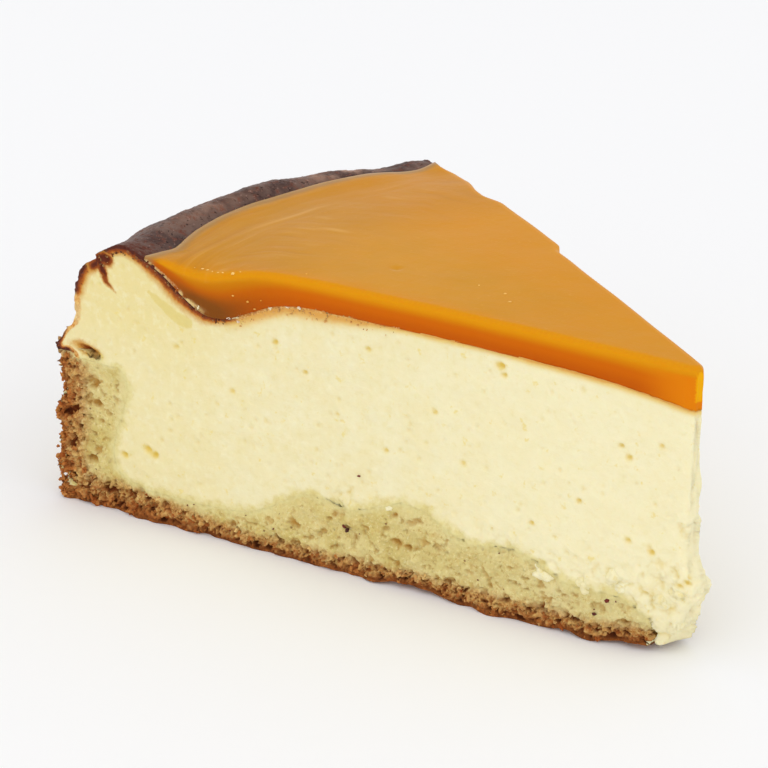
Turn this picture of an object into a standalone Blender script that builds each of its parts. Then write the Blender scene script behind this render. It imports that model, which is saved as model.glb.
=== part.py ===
"""A slice of baked mango cheesecake, standing on its crumb base. Metres, +Z up.

The slice is a wedge of a round cake. Its tip points to +X and its rim to -X, and the origin is the
centre of its footprint on the table. Three layers run through it: the crumb crust with its side wall,
the baked cheese filling with its raised rim, and the mango glaze that fills the dished top.

Each layer starts as one flat section through the cake, as distance from the cake's axis against
height, and the section is spun about that axis through the slice's angle. What is uneven in the real
cake is then a movement of the spun points: the layers wander across the slice, the cut faces are
crumbly, and the glaze is rounded where the knife left it.
"""

import math

import bmesh
import bpy
from mathutils import Matrix, Vector, noise

MM = 0.001

# The cake and the slice
CAKE_RADIUS = 130 * MM
SLICE_ANGLE = math.radians(37.1)
LAYER_GAP = 0.3 * MM
CUT_LEAN = 1.5 * MM  # each cut face stands out this much more at the table than at the top
FAR_SPREAD = 0.6 * MM  # the far cut was made this much beyond the slice's angle

# Crust: a base with swells where the batter rose, and a side wall as high as it was pressed
CRUST_TIP = 8.6 * MM
BASE_THICKNESS = 7.0 * MM
WALL_FOOT = 111.0 * MM
WALL_INNER = 117.4 * MM
WALL_LEAN = 3.2 * MM
WALL_HEIGHT = 31.2 * MM
WALL_BULGE = 0.8 * MM
# Each swell: distance from the axis, rise, half width, and how far it drifts by the far cut
SWELLS = (
    (16.0 * MM, 3.2 * MM, 9.0 * MM, 4 * MM),
    (33.4 * MM, 6.3 * MM, 9.2 * MM, -8 * MM),
    (55.1 * MM, 10.3 * MM, 12.5 * MM, -13 * MM),
    (76.0 * MM, 6.7 * MM, 9.1 * MM, 12 * MM),
)
FAR_SWELL_SHARE = 0.7
CRUMB = 2.6 * MM
TABLE_CONTACT = 0.15 * MM  # what is nearer the table than this rests on it

# Filling: nearly level under the glaze, with a trough inside the raised, browned rim
FILLING_TIP = 2.9 * MM
PLATEAU = 49.3 * MM
TIP_DIP = 3.3 * MM
TIP_DIP_LENGTH = 16.0 * MM
TROUGH_RADIUS = 94.2 * MM
TROUGH_DEPTH = 6.6 * MM
TROUGH_WIDTH = 9.8 * MM
RIM_START = 98.0 * MM
CREST_RADIUS = 116.0 * MM
CREST_LEVEL = 52.9 * MM
SHOULDER_RADIUS = 122.0 * MM
SHOULDER_DROP = 3.0 * MM
RIM_WALL = 126.6 * MM
RIM_DRIFT = 0.9 * MM
CREST_WANDER = 0.5 * MM
CREST_SWELL = 0.7 * MM
CREST_DIP = 1.2 * MM
TROUGH_WANDER = 1.6 * MM
# Where the knife left the tip: cream dragged out into a small bulge, and less and less below it
SMEAR_LEVEL = 14.2 * MM
SMEAR_REACH = 2.4 * MM
SMEAR_HALF_HEIGHT = 3.0 * MM
TIP_WORN = 3.7 * MM
TIP_WORN_LENGTH = 22.0 * MM
# A ledge of batter that ran out over the crust's wall and browned there
LEDGE_LEVEL = 32.9 * MM
LEDGE_REACH = 4.6 * MM
LEDGE_HALF_HEIGHT = 1.7 * MM

# Glaze: poured level, rounded at the cuts, thinning out where it meets the rim
GLAZE_LEVEL = 54.2 * MM
GLAZE_TIP_THICKNESS = 7.2 * MM
GLAZE_EDGE_RADIUS = 111.0 * MM
GLAZE_EDGE_THICKNESS = 0.5 * MM
LIP = 2.2 * MM
SAG_RADIUS = 98.0 * MM
SAG_DEPTH = 2.4 * MM
FAR_BULGE = 1.7 * MM

# Faces of a section along and up, steps of its spin, and the share of all faces that is kept
CRUST_FACES = (104, 12, 40, 0.26)
FILLING_FACES = (84, 18, 30, 0.25)
GLAZE_FACES = (72, 6, 30, 0.26)


def bell(distance, width):
    """1 at no distance, falling smoothly to almost 0 at twice the width."""
    return math.exp(-((distance / width) ** 2))


def smooth_step(value, start, end):
    """0 before start, 1 after end, and smooth between them."""
    share = min(1.0, max(0.0, (value - start) / (end - start)))
    return share * share * (3 - 2 * share)


def wave(value, seed):
    """Even noise from -1 to 1 along one line."""
    return noise.noise(Vector((value, seed * 3.1, seed * 1.7)))


def grain(radius, angle, height, size, seed):
    """Even noise from -1 to 1 in the cake, with lumps of the given size."""
    place = Vector((radius * math.cos(angle), radius * math.sin(angle), height)) / size
    return noise.noise(place + Vector((seed * 7.1, seed * 3.7, seed * 5.3)))


class Path:
    """A smooth line through a few points, read by share of its length, from 0 to 1."""

    def __init__(self, points):
        steps = 12
        ends = [2 * points[0] - points[1], *points, 2 * points[-1] - points[-2]]
        self.line = []
        for before, first, second, after in zip(ends, ends[1:], ends[2:], ends[3:]):
            for step in range(steps):
                t = step / steps
                bend = (2 * before - 5 * first + 4 * second - after) * t * t
                bend += (3 * first - before - 3 * second + after) * t * t * t
                self.line.append(first + 0.5 * ((second - before) * t + bend))
        self.line.append(points[-1])
        lengths = [0.0]
        for first, second in zip(self.line, self.line[1:]):
            lengths.append(lengths[-1] + (second - first).length)
        self.shares = [length / lengths[-1] for length in lengths]

    def __call__(self, share):
        for i in range(len(self.line) - 1):
            if share <= self.shares[i + 1]:
                part = (share - self.shares[i]) / (self.shares[i + 1] - self.shares[i])
                return self.line[i].lerp(self.line[i + 1], part)
        return self.line[-1].copy()


class Straight:
    """A level line from start to end that passes middle at a given share."""

    def __init__(self, start, middle, end, share):
        self.start = start
        self.middle = middle
        self.end = end
        self.share = share

    def __call__(self, share):
        if share < self.share:
            return self.start.lerp(self.middle, share / self.share)
        return self.middle.lerp(self.end, (share - self.share) / (1 - self.share))


def base_top(radius, across):
    """Height of the crust's base, at a distance from the axis and a share of the way across."""
    height = BASE_THICKNESS
    share = 1 - (1 - FAR_SWELL_SHARE) * across
    for centre, rise, width, drift in SWELLS:
        height += share * rise * bell(radius - centre - drift * across, width)
    return height


def filling_top(radius):
    """Height of the filling's top, from the tip to the crest of the rim."""
    level = PLATEAU - TIP_DIP * math.exp((FILLING_TIP - radius) / TIP_DIP_LENGTH)
    level += (CREST_LEVEL - PLATEAU) * smooth_step(radius, RIM_START, CREST_RADIUS)
    return level - TROUGH_DEPTH * bell(radius - TROUGH_RADIUS, TROUGH_WIDTH)


def top_points(start, end, height_at, count=24):
    """Points along a layer's top, spaced evenly from start to end."""
    radii = [start + (end - start) * i / count for i in range(count + 1)]
    return [Vector((radius, height_at(radius))) for radius in radii]


def raised(points, gap):
    """The points moved off their line, up and towards the tip, by the gap between two layers."""
    moved = []
    for i, point in enumerate(points):
        ahead = points[min(i + 1, len(points) - 1)] - points[max(i - 1, 0)]
        moved.append(point + Vector((-ahead.y, ahead.x)).normalized() * gap)
    return moved


def crust_top_points():
    """The line between crust and filling: along the base, up the inside of the wall, over its top."""
    base = top_points(CRUST_TIP, WALL_FOOT, lambda radius: base_top(radius, 0))
    base[0].y *= 0.85
    waist = WALL_INNER - WALL_LEAN
    return base + [
        Vector((WALL_INNER - 0.8 * MM, BASE_THICKNESS + 1.8 * MM)),
        Vector((WALL_INNER, 0.42 * WALL_HEIGHT)),
        Vector((waist + 1.4 * MM, 0.62 * WALL_HEIGHT)),
        Vector((waist, 0.80 * WALL_HEIGHT)),
        Vector((waist + 1.6 * MM, 0.93 * WALL_HEIGHT)),
        Vector((waist + 6.5 * MM, 0.99 * WALL_HEIGHT)),
        Vector((CAKE_RADIUS - 0.6 * MM, WALL_HEIGHT)),
    ]


def crust_section():
    """Lower, upper, tip and outer lines of the crust's section."""
    upper = Path(crust_top_points())
    corner = Vector((CAKE_RADIUS - 0.2 * MM, 0))
    below_wall = Vector((WALL_INNER + 0.3 * (CAKE_RADIUS - WALL_INNER), 0))
    foot_share = (WALL_FOOT - CRUST_TIP) / (CAKE_RADIUS - CRUST_TIP + WALL_HEIGHT)
    lower = Straight(Vector((CRUST_TIP + 0.6 * MM, 0)), below_wall, corner, 1.12 * foot_share)
    tip = Path([lower(0), upper(0)])
    bulge = Vector((CAKE_RADIUS + WALL_BULGE, 0.35 * WALL_HEIGHT))
    outer = Path([corner, bulge, upper(1)])
    return lower, upper, tip, outer


def filling_section():
    """Lower, upper, tip and outer lines of the filling's section. Its tip hangs over the crust's."""
    over_crust = raised(crust_top_points(), LAYER_GAP)
    over_crust[-1] = Vector((RIM_WALL, WALL_HEIGHT + LAYER_GAP))
    in_front = CRUST_TIP - 0.5 * MM
    hanging = [
        Vector((FILLING_TIP + TIP_WORN, 0.5 * MM)),
        Vector((in_front - 0.1 * MM, 0.9 * MM)),
        Vector((in_front - 0.1 * MM, 0.5 * BASE_THICKNESS)),
    ]
    lower = Path(hanging + over_crust)
    shoulder = Vector((SHOULDER_RADIUS, CREST_LEVEL - SHOULDER_DROP))
    upper = Path(top_points(FILLING_TIP, CREST_RADIUS, filling_top) + [shoulder])
    worn = [Vector((FILLING_TIP + 0.5 * TIP_WORN, 0.6 * BASE_THICKNESS))]
    worn.append(Vector((FILLING_TIP, 1.4 * BASE_THICKNESS)))
    tip = Path([lower(0), *worn, Vector((FILLING_TIP, 0.5 * PLATEAU)), upper(0)])
    outer_wall = Vector((RIM_WALL, CREST_LEVEL - 4.5 * SHOULDER_DROP))
    outer_bend = Vector((RIM_WALL - 1.2 * MM, CREST_LEVEL - 2.3 * SHOULDER_DROP))
    outer = Path([lower(1), outer_wall, outer_bend, shoulder])
    return lower, upper, tip, outer


def glaze_section():
    """Lower, upper, tip and outer lines of the glaze's section."""
    on_filling = top_points(FILLING_TIP, GLAZE_EDGE_RADIUS, filling_top)
    lower = Path(raised(on_filling, LAYER_GAP))
    tip_top = lower(0) + Vector((0, GLAZE_TIP_THICKNESS))
    edge_top = lower(1) + Vector((0, GLAZE_EDGE_THICKNESS))
    upper = Path([
        tip_top,
        Vector((0.4 * TROUGH_RADIUS, GLAZE_LEVEL)),
        Vector((0.9 * TROUGH_RADIUS, GLAZE_LEVEL)),
        edge_top,
    ])
    return lower, upper, Path([lower(0), tip_top]), Path([lower(1), edge_top])


def fill_section(lines, along, up):
    """The point of a section at shares along and up, blended from its four lines."""
    lower, upper, tip, outer = lines
    level = lower(along).lerp(upper(along), up)
    side = tip(up).lerp(outer(up), along)
    corners = lower(0).lerp(lower(1), along).lerp(upper(0).lerp(upper(1), along), up)
    return level + side - corners


def spun_layer(lines, faces):
    """A closed body: the section at the near cut, spun to the far cut."""
    along, up, steps, _ = faces
    body = bmesh.new()
    bmesh.ops.create_grid(body, x_segments=along, y_segments=up, size=0.5)
    for vertex in body.verts:
        point = fill_section(lines, vertex.co.x + 0.5, vertex.co.y + 0.5)
        vertex.co = Vector((point.x, 0, point.y))
    bmesh.ops.spin(
        body,
        geom=body.faces[:],
        cent=(0, 0, 0),
        axis=(0, 0, 1),
        angle=SLICE_ANGLE,
        steps=steps,
        use_duplicate=False,
    )
    return body


def remap_level(height, old, new, high):
    """Moves the level old to new, and all between the table and high with it."""
    if height >= high:
        return height
    if height < old:
        return height * new / old
    return high - (high - height) * (high - new) / (high - old)


def wandered(radius, across, height):
    """Radius and height of a point once base, trough and rim have wandered across the slice."""
    if radius < WALL_FOOT:
        height = remap_level(height, base_top(radius, 0), base_top(radius, across), 36 * MM)
    in_dish = smooth_step(height, 30 * MM, 42 * MM) * (1 - smooth_step(height, 48 * MM, 53 * MM))
    trough = TROUGH_WANDER * wave(across * 2.6, 7) * smooth_step(across, 0, 0.2)
    height += trough * bell(radius - TROUGH_RADIUS, 12 * MM) * in_dish
    on_rim = smooth_step(radius, GLAZE_EDGE_RADIUS, CREST_RADIUS)
    on_rim *= smooth_step(height, 36 * MM, 50 * MM)
    crest = CREST_WANDER * wave(across * 9, 2) - CREST_DIP * bell(across - 0.84, 0.09)
    crest += CREST_SWELL * (smooth_step(across, 0.05, 0.2) - smooth_step(across, 0.6, 0.8))
    crest += 0.25 * MM * grain(radius, across * SLICE_ANGLE, height, 5 * MM, 3)
    height += crest * on_rim
    drift = smooth_step(radius, 88 * MM, 108 * MM) * smooth_step(height, 34 * MM, 46 * MM)
    radius += RIM_DRIFT * wave(across * 7, 8) * drift * smooth_step(across, 0, 0.15)
    return radius, height


def cut_relief(name, radius, angle, height, far):
    """How far a cut face stands out from the knife's plane."""
    seed = 2 if far else 1
    if name == "crust":
        lumps = 0.8 * MM * grain(radius, angle, height, 2.3 * CRUMB, seed)
        return lumps + 0.8 * MM * grain(radius, angle, height, CRUMB, seed + 4)
    if name == "filling":
        drag = 0.4 * MM * wave(radius / (14 * MM), seed + 5)
        return drag + 0.25 * MM * grain(radius, angle, height, 4 * MM, seed)
    bulge = 0.3 * MM * wave(radius / (16 * MM), seed + 2)
    if far:
        torn = smooth_step(radius, 57 * MM, 61 * MM) - smooth_step(radius, 83 * MM, 90 * MM)
        torn += 0.7 * smooth_step(radius, 92 * MM, 99 * MM)
        return bulge + FAR_BULGE * torn
    return bulge + 0.8 * MM * bell(radius - SAG_RADIUS, 12 * MM)


def rim_relief(name, radius, angle, height):
    """How far the outside of the cake stands out from its smooth line."""
    if name == "crust":
        reach = smooth_step(radius, WALL_INNER, CAKE_RADIUS)
        lumps = 1.3 * MM * grain(radius, angle, height, 2.6 * CRUMB, 11)
        return reach * (lumps + 1.5 * MM * grain(radius, angle, height, 1.4 * CRUMB, 12))
    if name == "filling":
        reach = smooth_step(radius, WALL_INNER, RIM_WALL)
        uneven = 1 - 0.6 * abs(wave(angle * 14, 4))
        ledge = LEDGE_REACH * uneven * bell(height - LEDGE_LEVEL, LEDGE_HALF_HEIGHT)
        return reach * (ledge + 0.7 * MM * grain(radius, angle, height, 6 * MM, 13))
    return 0.0


def lip_drop(radius, across, height):
    """How far the glaze's top falls at its rounded edges, and in the sag at the near cut."""
    from_near = radius * math.sin(across * SLICE_ANGLE)
    from_far = radius * math.sin((1 - across) * SLICE_ANGLE)
    from_tip = radius - FILLING_TIP
    drop = 0.0
    for distance, lip in ((from_near, LIP), (from_far, LIP), (from_tip, 0.8 * LIP)):
        inside = min(1.0, max(0.0, 1 - distance / lip))
        drop += 0.6 * lip * (1 - math.sqrt(1 - inside * inside))
    sag = SAG_DEPTH * bell(radius - SAG_RADIUS, 9 * MM) * math.exp(-from_near / (6 * MM))
    top = smooth_step(height, filling_top(radius) + 2 * LAYER_GAP, GLAZE_LEVEL)
    return (min(drop, 1.5 * MM) + sag) * top


def bottom_chip(radius, across, height):
    """How far the crust's lower edge is chipped up from the table along the two cuts."""
    to_cut = min(across, 1 - across) * SLICE_ANGLE * radius
    at_edge = (1 - smooth_step(to_cut, 0, CRUMB)) * (1 - smooth_step(height, 0, 4 * MM))
    return 1.6 * MM * at_edge * max(0.0, wave(radius / (9 * MM) + across * 30, 5) - 0.1)


def tip_smear(name, radius, angle, height):
    """How far the filling's front is pushed out towards the tip, where the knife dragged it."""
    if name != "filling":
        return 0.0
    front = 1 - smooth_step(radius, FILLING_TIP, 8 * MM)
    ragged = 0.6 * MM * noise.noise(Vector((height / (5 * MM), angle * 9, 3.3)))
    return front * (ragged + SMEAR_REACH * bell(height - SMEAR_LEVEL, SMEAR_HALF_HEIGHT))


def tip_worn(radius, height):
    """How much of the near face is gone low down by the tip, for crust and filling alike."""
    share = 1 - smooth_step(radius, FILLING_TIP, TIP_WORN_LENGTH)
    return 0.7 * TIP_WORN * share * (1 - smooth_step(height, 0, 1.6 * BASE_THICKNESS))


def tip_lift(radius, height):
    """How far the underside has crumbled up off the table by the tip."""
    by_tip = 1 - smooth_step(radius, FILLING_TIP, TIP_WORN_LENGTH)
    return 1.2 * MM * by_tip * (1 - smooth_step(height, 0, BASE_THICKNESS))


def placed(name, co):
    """Where a spun point of a layer lies in the real, uneven slice, with the cake's axis at 0."""
    height = co.z
    radius = math.hypot(co.x, co.y)
    across = math.atan2(co.y, co.x) / SLICE_ANGLE
    # Rows of faces stand closer together at the two cuts, where edges are rounded
    across -= 0.75 * math.sin(2 * math.pi * across) / (2 * math.pi)
    angle = across * SLICE_ANGLE
    to_near = angle * radius
    to_far = SLICE_ANGLE * radius - to_near
    lean = CUT_LEAN * (1 - smooth_step(height, 0, 50 * MM))
    near = (lean - tip_worn(radius, height)) * (1 - across)
    near += cut_relief(name, radius, 0, height, False) * (1 - smooth_step(to_near, 0, 6 * MM))
    far = (lean + FAR_SPREAD) * across
    far += cut_relief(name, radius, SLICE_ANGLE, height, True) * (1 - smooth_step(to_far, 0, 6 * MM))
    turned, level = wandered(radius, across, height)
    if name == "glaze":
        level -= lip_drop(radius, across, height)
    if name == "crust":
        level += bottom_chip(radius, across, height)
    level += tip_lift(radius, height)
    turned += rim_relief(name, radius, angle, height)
    half = SLICE_ANGLE / 2
    point = Vector((-turned * math.cos(angle - half), turned * math.sin(angle - half), level))
    point += near * Vector((math.sin(half), -math.cos(half), 0))
    point += far * Vector((math.sin(half), math.cos(half), 0))
    point.x += tip_smear(name, radius, angle, height)
    return point


def crust_material():
    """Baked biscuit crumb."""
    return food_material("crust", (0.42, 0.23, 0.08), 0.9)


def filling_material():
    """Pale yellow baked cheese."""
    return food_material("filling", (0.86, 0.76, 0.43), 0.6)


def glaze_material():
    """Set mango puree."""
    return food_material("glaze", (0.68, 0.28, 0.03), 0.25)


def food_material(name, colour, roughness):
    """A plain food surface."""
    material = bpy.data.materials.new(name)
    material.use_nodes = True
    shader = material.node_tree.nodes["Principled BSDF"]
    shader.inputs["Base Color"].default_value = (*colour, 1)
    shader.inputs["Roughness"].default_value = roughness
    shader.inputs["Metallic"].default_value = 0
    return material


def add_layer(name, lines, faces, material, collection):
    """One layer of the slice as its own object, with the cake's axis still at 0."""
    body = spun_layer(lines, faces)
    for vertex in body.verts:
        vertex.co = placed(name, vertex.co)
    bmesh.ops.recalc_face_normals(body, faces=body.faces)
    full = bpy.data.meshes.new(name + " full")
    body.to_mesh(full)
    body.free()
    thing = bpy.data.objects.new(name, full)
    collection.objects.link(thing)
    fewer = thing.modifiers.new("Fewer faces", "DECIMATE")
    fewer.ratio = faces[3]
    seen = thing.evaluated_get(bpy.context.evaluated_depsgraph_get())
    thing.data = bpy.data.meshes.new_from_object(seen)
    thing.modifiers.clear()
    bpy.data.meshes.remove(full)
    # Thinning the faces leaves some points of the underside a hair off the table
    for vertex in thing.data.vertices:
        if vertex.co.z < TABLE_CONTACT:
            vertex.co.z = 0
    thing.data.materials.append(material)
    thing.data.shade_smooth()
    thing.data.set_sharp_from_angle(angle=math.radians(40))
    return thing


def centre_on_footprint(things):
    """Moves the slice so that the origin is the centre of its box, on the table."""
    corners = [vertex.co for thing in things for vertex in thing.data.vertices]
    low = Vector([min(corner[i] for corner in corners) for i in range(3)])
    high = Vector([max(corner[i] for corner in corners) for i in range(3)])
    middle = (low + high) / 2
    for thing in things:
        thing.data.transform(Matrix.Translation((-middle.x, -middle.y, -low.z)))


def main():
    for thing in list(bpy.data.objects):
        bpy.data.objects.remove(thing)
    collection = bpy.data.collections.new("Mango cheesecake slice")
    bpy.context.scene.collection.children.link(collection)
    crust = add_layer("crust", crust_section(), CRUST_FACES, crust_material(), collection)
    filling = add_layer("filling", filling_section(), FILLING_FACES, filling_material(), collection)
    glaze = add_layer("glaze", glaze_section(), GLAZE_FACES, glaze_material(), collection)
    centre_on_footprint([crust, filling, glaze])


main()
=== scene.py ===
"""The looks of the mango cheesecake slice: fine surfaces over the CAD frame, materials, light and camera.

Lengths are millimetres with the cake's axis at 0, until place() moves a mesh into the frame in metres.
Each layer is the same section as the solid's, spun through the same angle, but cut into much finer
faces: crumbs, pores, the skin of the rim and the knife's traces are moved points, and the masks that
the materials read are written on the points as attributes.
"""

import math

import bmesh
import bpy
import numpy as np
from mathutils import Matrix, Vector, geometry, noise


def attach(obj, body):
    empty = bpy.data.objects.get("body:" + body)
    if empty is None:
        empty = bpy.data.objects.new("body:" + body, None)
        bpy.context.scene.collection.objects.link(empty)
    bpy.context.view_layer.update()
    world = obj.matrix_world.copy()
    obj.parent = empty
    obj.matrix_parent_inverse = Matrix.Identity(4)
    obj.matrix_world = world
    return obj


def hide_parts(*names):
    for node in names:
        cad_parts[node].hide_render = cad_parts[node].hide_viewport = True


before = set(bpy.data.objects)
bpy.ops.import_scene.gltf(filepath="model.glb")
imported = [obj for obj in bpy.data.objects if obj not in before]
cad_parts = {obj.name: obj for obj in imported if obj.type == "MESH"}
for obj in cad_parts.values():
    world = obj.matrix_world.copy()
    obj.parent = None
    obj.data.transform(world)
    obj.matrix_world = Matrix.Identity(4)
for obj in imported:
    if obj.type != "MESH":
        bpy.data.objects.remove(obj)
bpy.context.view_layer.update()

MM = 0.001
AXIS = np.array([65.33, -0.35, 0.0])  # the cake's axis in the frame

# The cake and the slice, as in the solids
CAKE_RADIUS = 130.0
SLICE_ANGLE = math.radians(37.1)
HALF = SLICE_ANGLE / 2
CUT_LEAN = 1.5
FAR_SPREAD = 0.6

CRUST_TIP = 8.6
BASE_THICKNESS = 7.0
WALL_FOOT = 111.0
WALL_INNER = 117.4
WALL_LEAN = 3.2
WALL_HEIGHT = 31.2
WALL_BULGE = 0.8
SWELLS = (
    (16.0, 3.2, 9.0, 4),
    (33.4, 6.3, 9.2, -8),
    (55.1, 10.3, 12.5, -13),
    (76.0, 6.7, 9.1, 12),
)
FAR_SWELL_SHARE = 0.7
CRUMB = 2.6

FILLING_TIP = 2.9
PLATEAU = 49.3
TIP_DIP = 3.3
TIP_DIP_LENGTH = 16.0
TROUGH_RADIUS = 95.2
TROUGH_DEPTH = 5.6
TROUGH_WIDTH = 9.6
RIM_START = 98.0
CREST_RADIUS = 116.0
CREST_LEVEL = 52.9
SHOULDER_RADIUS = 122.0
SHOULDER_DROP = 3.0
RIM_WALL = 126.6
RIM_DRIFT = 0.9
CREST_WANDER = 0.5
CREST_SWELL = 0.7
CREST_DIP = 1.2
TROUGH_WANDER = 1.6
SMEAR_LEVEL = 14.2
SMEAR_REACH = 2.4
SMEAR_HALF_HEIGHT = 3.0
TIP_WORN = 3.7
TIP_WORN_LENGTH = 22.0
TIP_ROUND = 2.2
LEDGE_LEVEL = 32.8
LEDGE_REACH = 4.6
LEDGE_HALF_HEIGHT = 2.1
NOTCH = (122.9, 48.9)  # the step in the rim's back, beside the near cut
# How the rim's crest and the glaze's edge wander along the rim: share across, millimetres
CREST_LINE = (
    (0, 0), (0.13, -0.3), (0.18, -0.4), (0.24, -0.1), (0.29, 0.1), (0.36, 0.6), (0.41, 1.05), (0.46, 1.35),
    (0.51, 0.95), (0.55, 0.6), (0.61, 0.25), (0.69, 0.1), (0.75, 0.4), (0.8, 0.9), (0.85, 0.6), (0.89, 0.05),
    (0.95, -0.1), (1, -0.6),
)
EDGE_LINE = (
    (0, -0.6), (0.05, -1.3), (0.09, -1.8), (0.12, -1.6), (0.15, -1.2), (0.19, -0.7), (0.225, -0.2),
    (0.263, 0.3), (0.306, 0.7), (0.363, 1.0), (0.431, 1.2), (0.488, 1.0), (0.562, 1.0), (0.65, 1.3),
    (0.72, 1.4), (0.79, 1.4), (0.85, 0.8), (0.894, 0.2), (0.938, 0.1), (0.969, 0.7), (1, 1.8),
)

SOAK = 1.7  # how far the filling's mesh runs into the crust, so that no line shows between them

GLAZE_LEVEL = 54.2
GLAZE_TIP_THICKNESS = 7.2
GLAZE_EDGE_RADIUS = 111.0
GLAZE_EDGE_THICKNESS = 0.5
LIP = 1.1
SAG_RADIUS = 98.0
SAG_DEPTH = 2.4
FAR_BULGE = 1.7
STROKE_RADIUS = 104.5  # where the spatula ran along the rim

# How many small bits are strewn
LOOSE_CRUMBS = 1100
SKIN_FLAKES = 130
RIM_FLAKES = 90
CRACK_FLAKES = 26
SMALL_SPECKS = 16

# The lamps: name, azimuth and elevation in degrees, power in watts
LAMPS = (("lamp_above", -10, 72, 6), ("lamp_front", 20, 30, 8), ("lamp_side", 105, 35, 6))
LAMP_DISTANCE = 3.0
LAMP_SIZE = 2.4
ROOM_LIGHT = 0.905
FLOOR_SIZE = 6
FLOOR_COLOUR = (0.93, 0.932, 0.944, 1)

# The photo's camera
AZIMUTH = math.radians(48.82)
ELEVATION = math.radians(23.82)
DISTANCE = 500.0
AIM = (-14.75, -0.17, 25.0)
LENS = 126.98


def bell(distance, width):
    return np.exp(-((distance / width) ** 2))


def step(value, start, end):
    share = np.clip((value - start) / (end - start), 0.0, 1.0)
    return share * share * (3 - 2 * share)


def perlin(points):
    """Even noise from -1 to 1 at an array of points."""
    return np.array([noise.noise(point) for point in points.tolist()])


def fractal(points, size, octaves, seed):
    """Noise with finer and finer octaves, about -1 to 1."""
    shifted = (points / size + seed * 13.7).tolist()
    return np.array([noise.fractal(point, 1.0, 2.0, octaves) for point in shifted])


def cells(points, size, seed):
    """Nearest and second distance to scattered cell centres, in cell sizes, and each cell's own share."""
    shifted = (points / size + seed * 9.3).tolist()
    found = [noise.voronoi(point) for point in shifted]
    first = np.array([distances[0] for distances, _ in found])
    second = np.array([distances[1] for distances, _ in found])
    centres = np.array([places[0][:] for _, places in found])
    own = np.sin(centres @ np.array([12.9898, 78.233, 37.719])) * 43758.5453
    return first, second, own - np.floor(own)


def wave(value, seed):
    value = np.asarray(value, float)
    points = np.stack([value, np.full_like(value, seed * 3.1), np.full_like(value, seed * 1.7)], -1)
    return perlin(points)


def grain(radius, angle, height, size, seed):
    angle = np.zeros_like(radius) + angle
    points = np.stack([radius * np.cos(angle), radius * np.sin(angle), height], -1) / size
    return perlin(points + seed * np.array([7.1, 3.7, 5.3]))


class Path:
    """A smooth line through a few points of the section."""

    def __init__(self, points):
        points = np.array(points, float)
        ends = np.vstack([2 * points[0] - points[1], points, 2 * points[-1] - points[-2]])
        t = np.arange(12)[:, None] / 12
        line = []
        for before, first, second, after in zip(ends, ends[1:], ends[2:], ends[3:]):
            bend = (2 * before - 5 * first + 4 * second - after) * t * t
            bend = bend + (3 * first - before - 3 * second + after) * t**3
            line.append(first + 0.5 * ((second - before) * t + bend))
        self.line = np.vstack(line + [points[-1:]])
        lengths = np.linalg.norm(np.diff(self.line, axis=0), axis=1)
        self.reach = np.concatenate([[0.0], np.cumsum(lengths)])

    def spaced(self, spacing, back=False):
        """Evenly spaced points from start to end, without the end."""
        count = max(2, math.ceil(self.reach[-1] / spacing))
        at = self.reach[-1] * np.arange(count) / count
        if back:
            at = self.reach[-1] - at
        return np.stack([np.interp(at, self.reach, self.line[:, k]) for k in (0, 1)], -1)

    def distance(self, points):
        """How far each point is from the line."""
        dense = self.spaced(0.25)
        nearest = [
            np.sqrt(((part[:, None] - dense[None]) ** 2).sum(-1).min(1))
            for part in np.array_split(points, max(1, len(points) // 4000))
        ]
        return np.concatenate(nearest)


CREST_SHIFT = Path(CREST_LINE).line.T
EDGE_SHIFT = Path(EDGE_LINE).line.T


def base_top(radius, across):
    height = BASE_THICKNESS + 0 * radius
    share = 1 - (1 - FAR_SWELL_SHARE) * across
    for centre, rise, width, drift in SWELLS:
        height = height + share * rise * bell(radius - centre - drift * across, width)
    return height


def filling_top(radius):
    level = PLATEAU - TIP_DIP * np.exp((FILLING_TIP - radius) / TIP_DIP_LENGTH)
    level = level + (CREST_LEVEL - PLATEAU) * step(radius, RIM_START, CREST_RADIUS)
    return level - TROUGH_DEPTH * bell(radius - TROUGH_RADIUS, TROUGH_WIDTH)


def top_points(start, end, height_at):
    radii = start + (end - start) * np.arange(25) / 24
    return [np.array([radius, height_at(radius)]) for radius in radii]


def raised(points, gap):
    moved = []
    for i, point in enumerate(points):
        ahead = points[min(i + 1, len(points) - 1)] - points[max(i - 1, 0)]
        off = np.array([-ahead[1], ahead[0]])
        moved.append(point + off / np.linalg.norm(off) * gap)
    return moved


def crust_top_points():
    base = top_points(CRUST_TIP, WALL_FOOT, lambda radius: base_top(radius, 0))
    base[0][1] *= 0.85
    waist = WALL_INNER - WALL_LEAN
    wall = [
        (WALL_INNER - 0.8, BASE_THICKNESS + 1.8),
        (WALL_INNER, 0.42 * WALL_HEIGHT),
        (waist + 1.4, 0.62 * WALL_HEIGHT),
        (waist, 0.80 * WALL_HEIGHT),
        (waist + 1.6, 0.93 * WALL_HEIGHT),
        (waist + 6.5, 0.99 * WALL_HEIGHT),
        (CAKE_RADIUS - 0.6, WALL_HEIGHT),
    ]
    return base + [np.array(point) for point in wall]


CRUST_TOP = Path(crust_top_points())
FILLING_TOP_LINE = Path(
    top_points(FILLING_TIP, CREST_RADIUS, filling_top)
    + [np.array([SHOULDER_RADIUS, CREST_LEVEL - SHOULDER_DROP])]
)


def crust_lines():
    """Lower, outer, upper and tip lines of the crust's section."""
    start, end = np.array([CRUST_TIP + 0.6, 0.0]), np.array([CAKE_RADIUS - 0.2, 0.0])
    bulge = (CAKE_RADIUS + WALL_BULGE, 0.35 * WALL_HEIGHT)
    outer = Path([end, bulge, CRUST_TOP.line[-1]])
    return Path([start, (start + end) / 2, end]), outer, CRUST_TOP, Path([start, CRUST_TOP.line[0]])


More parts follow.
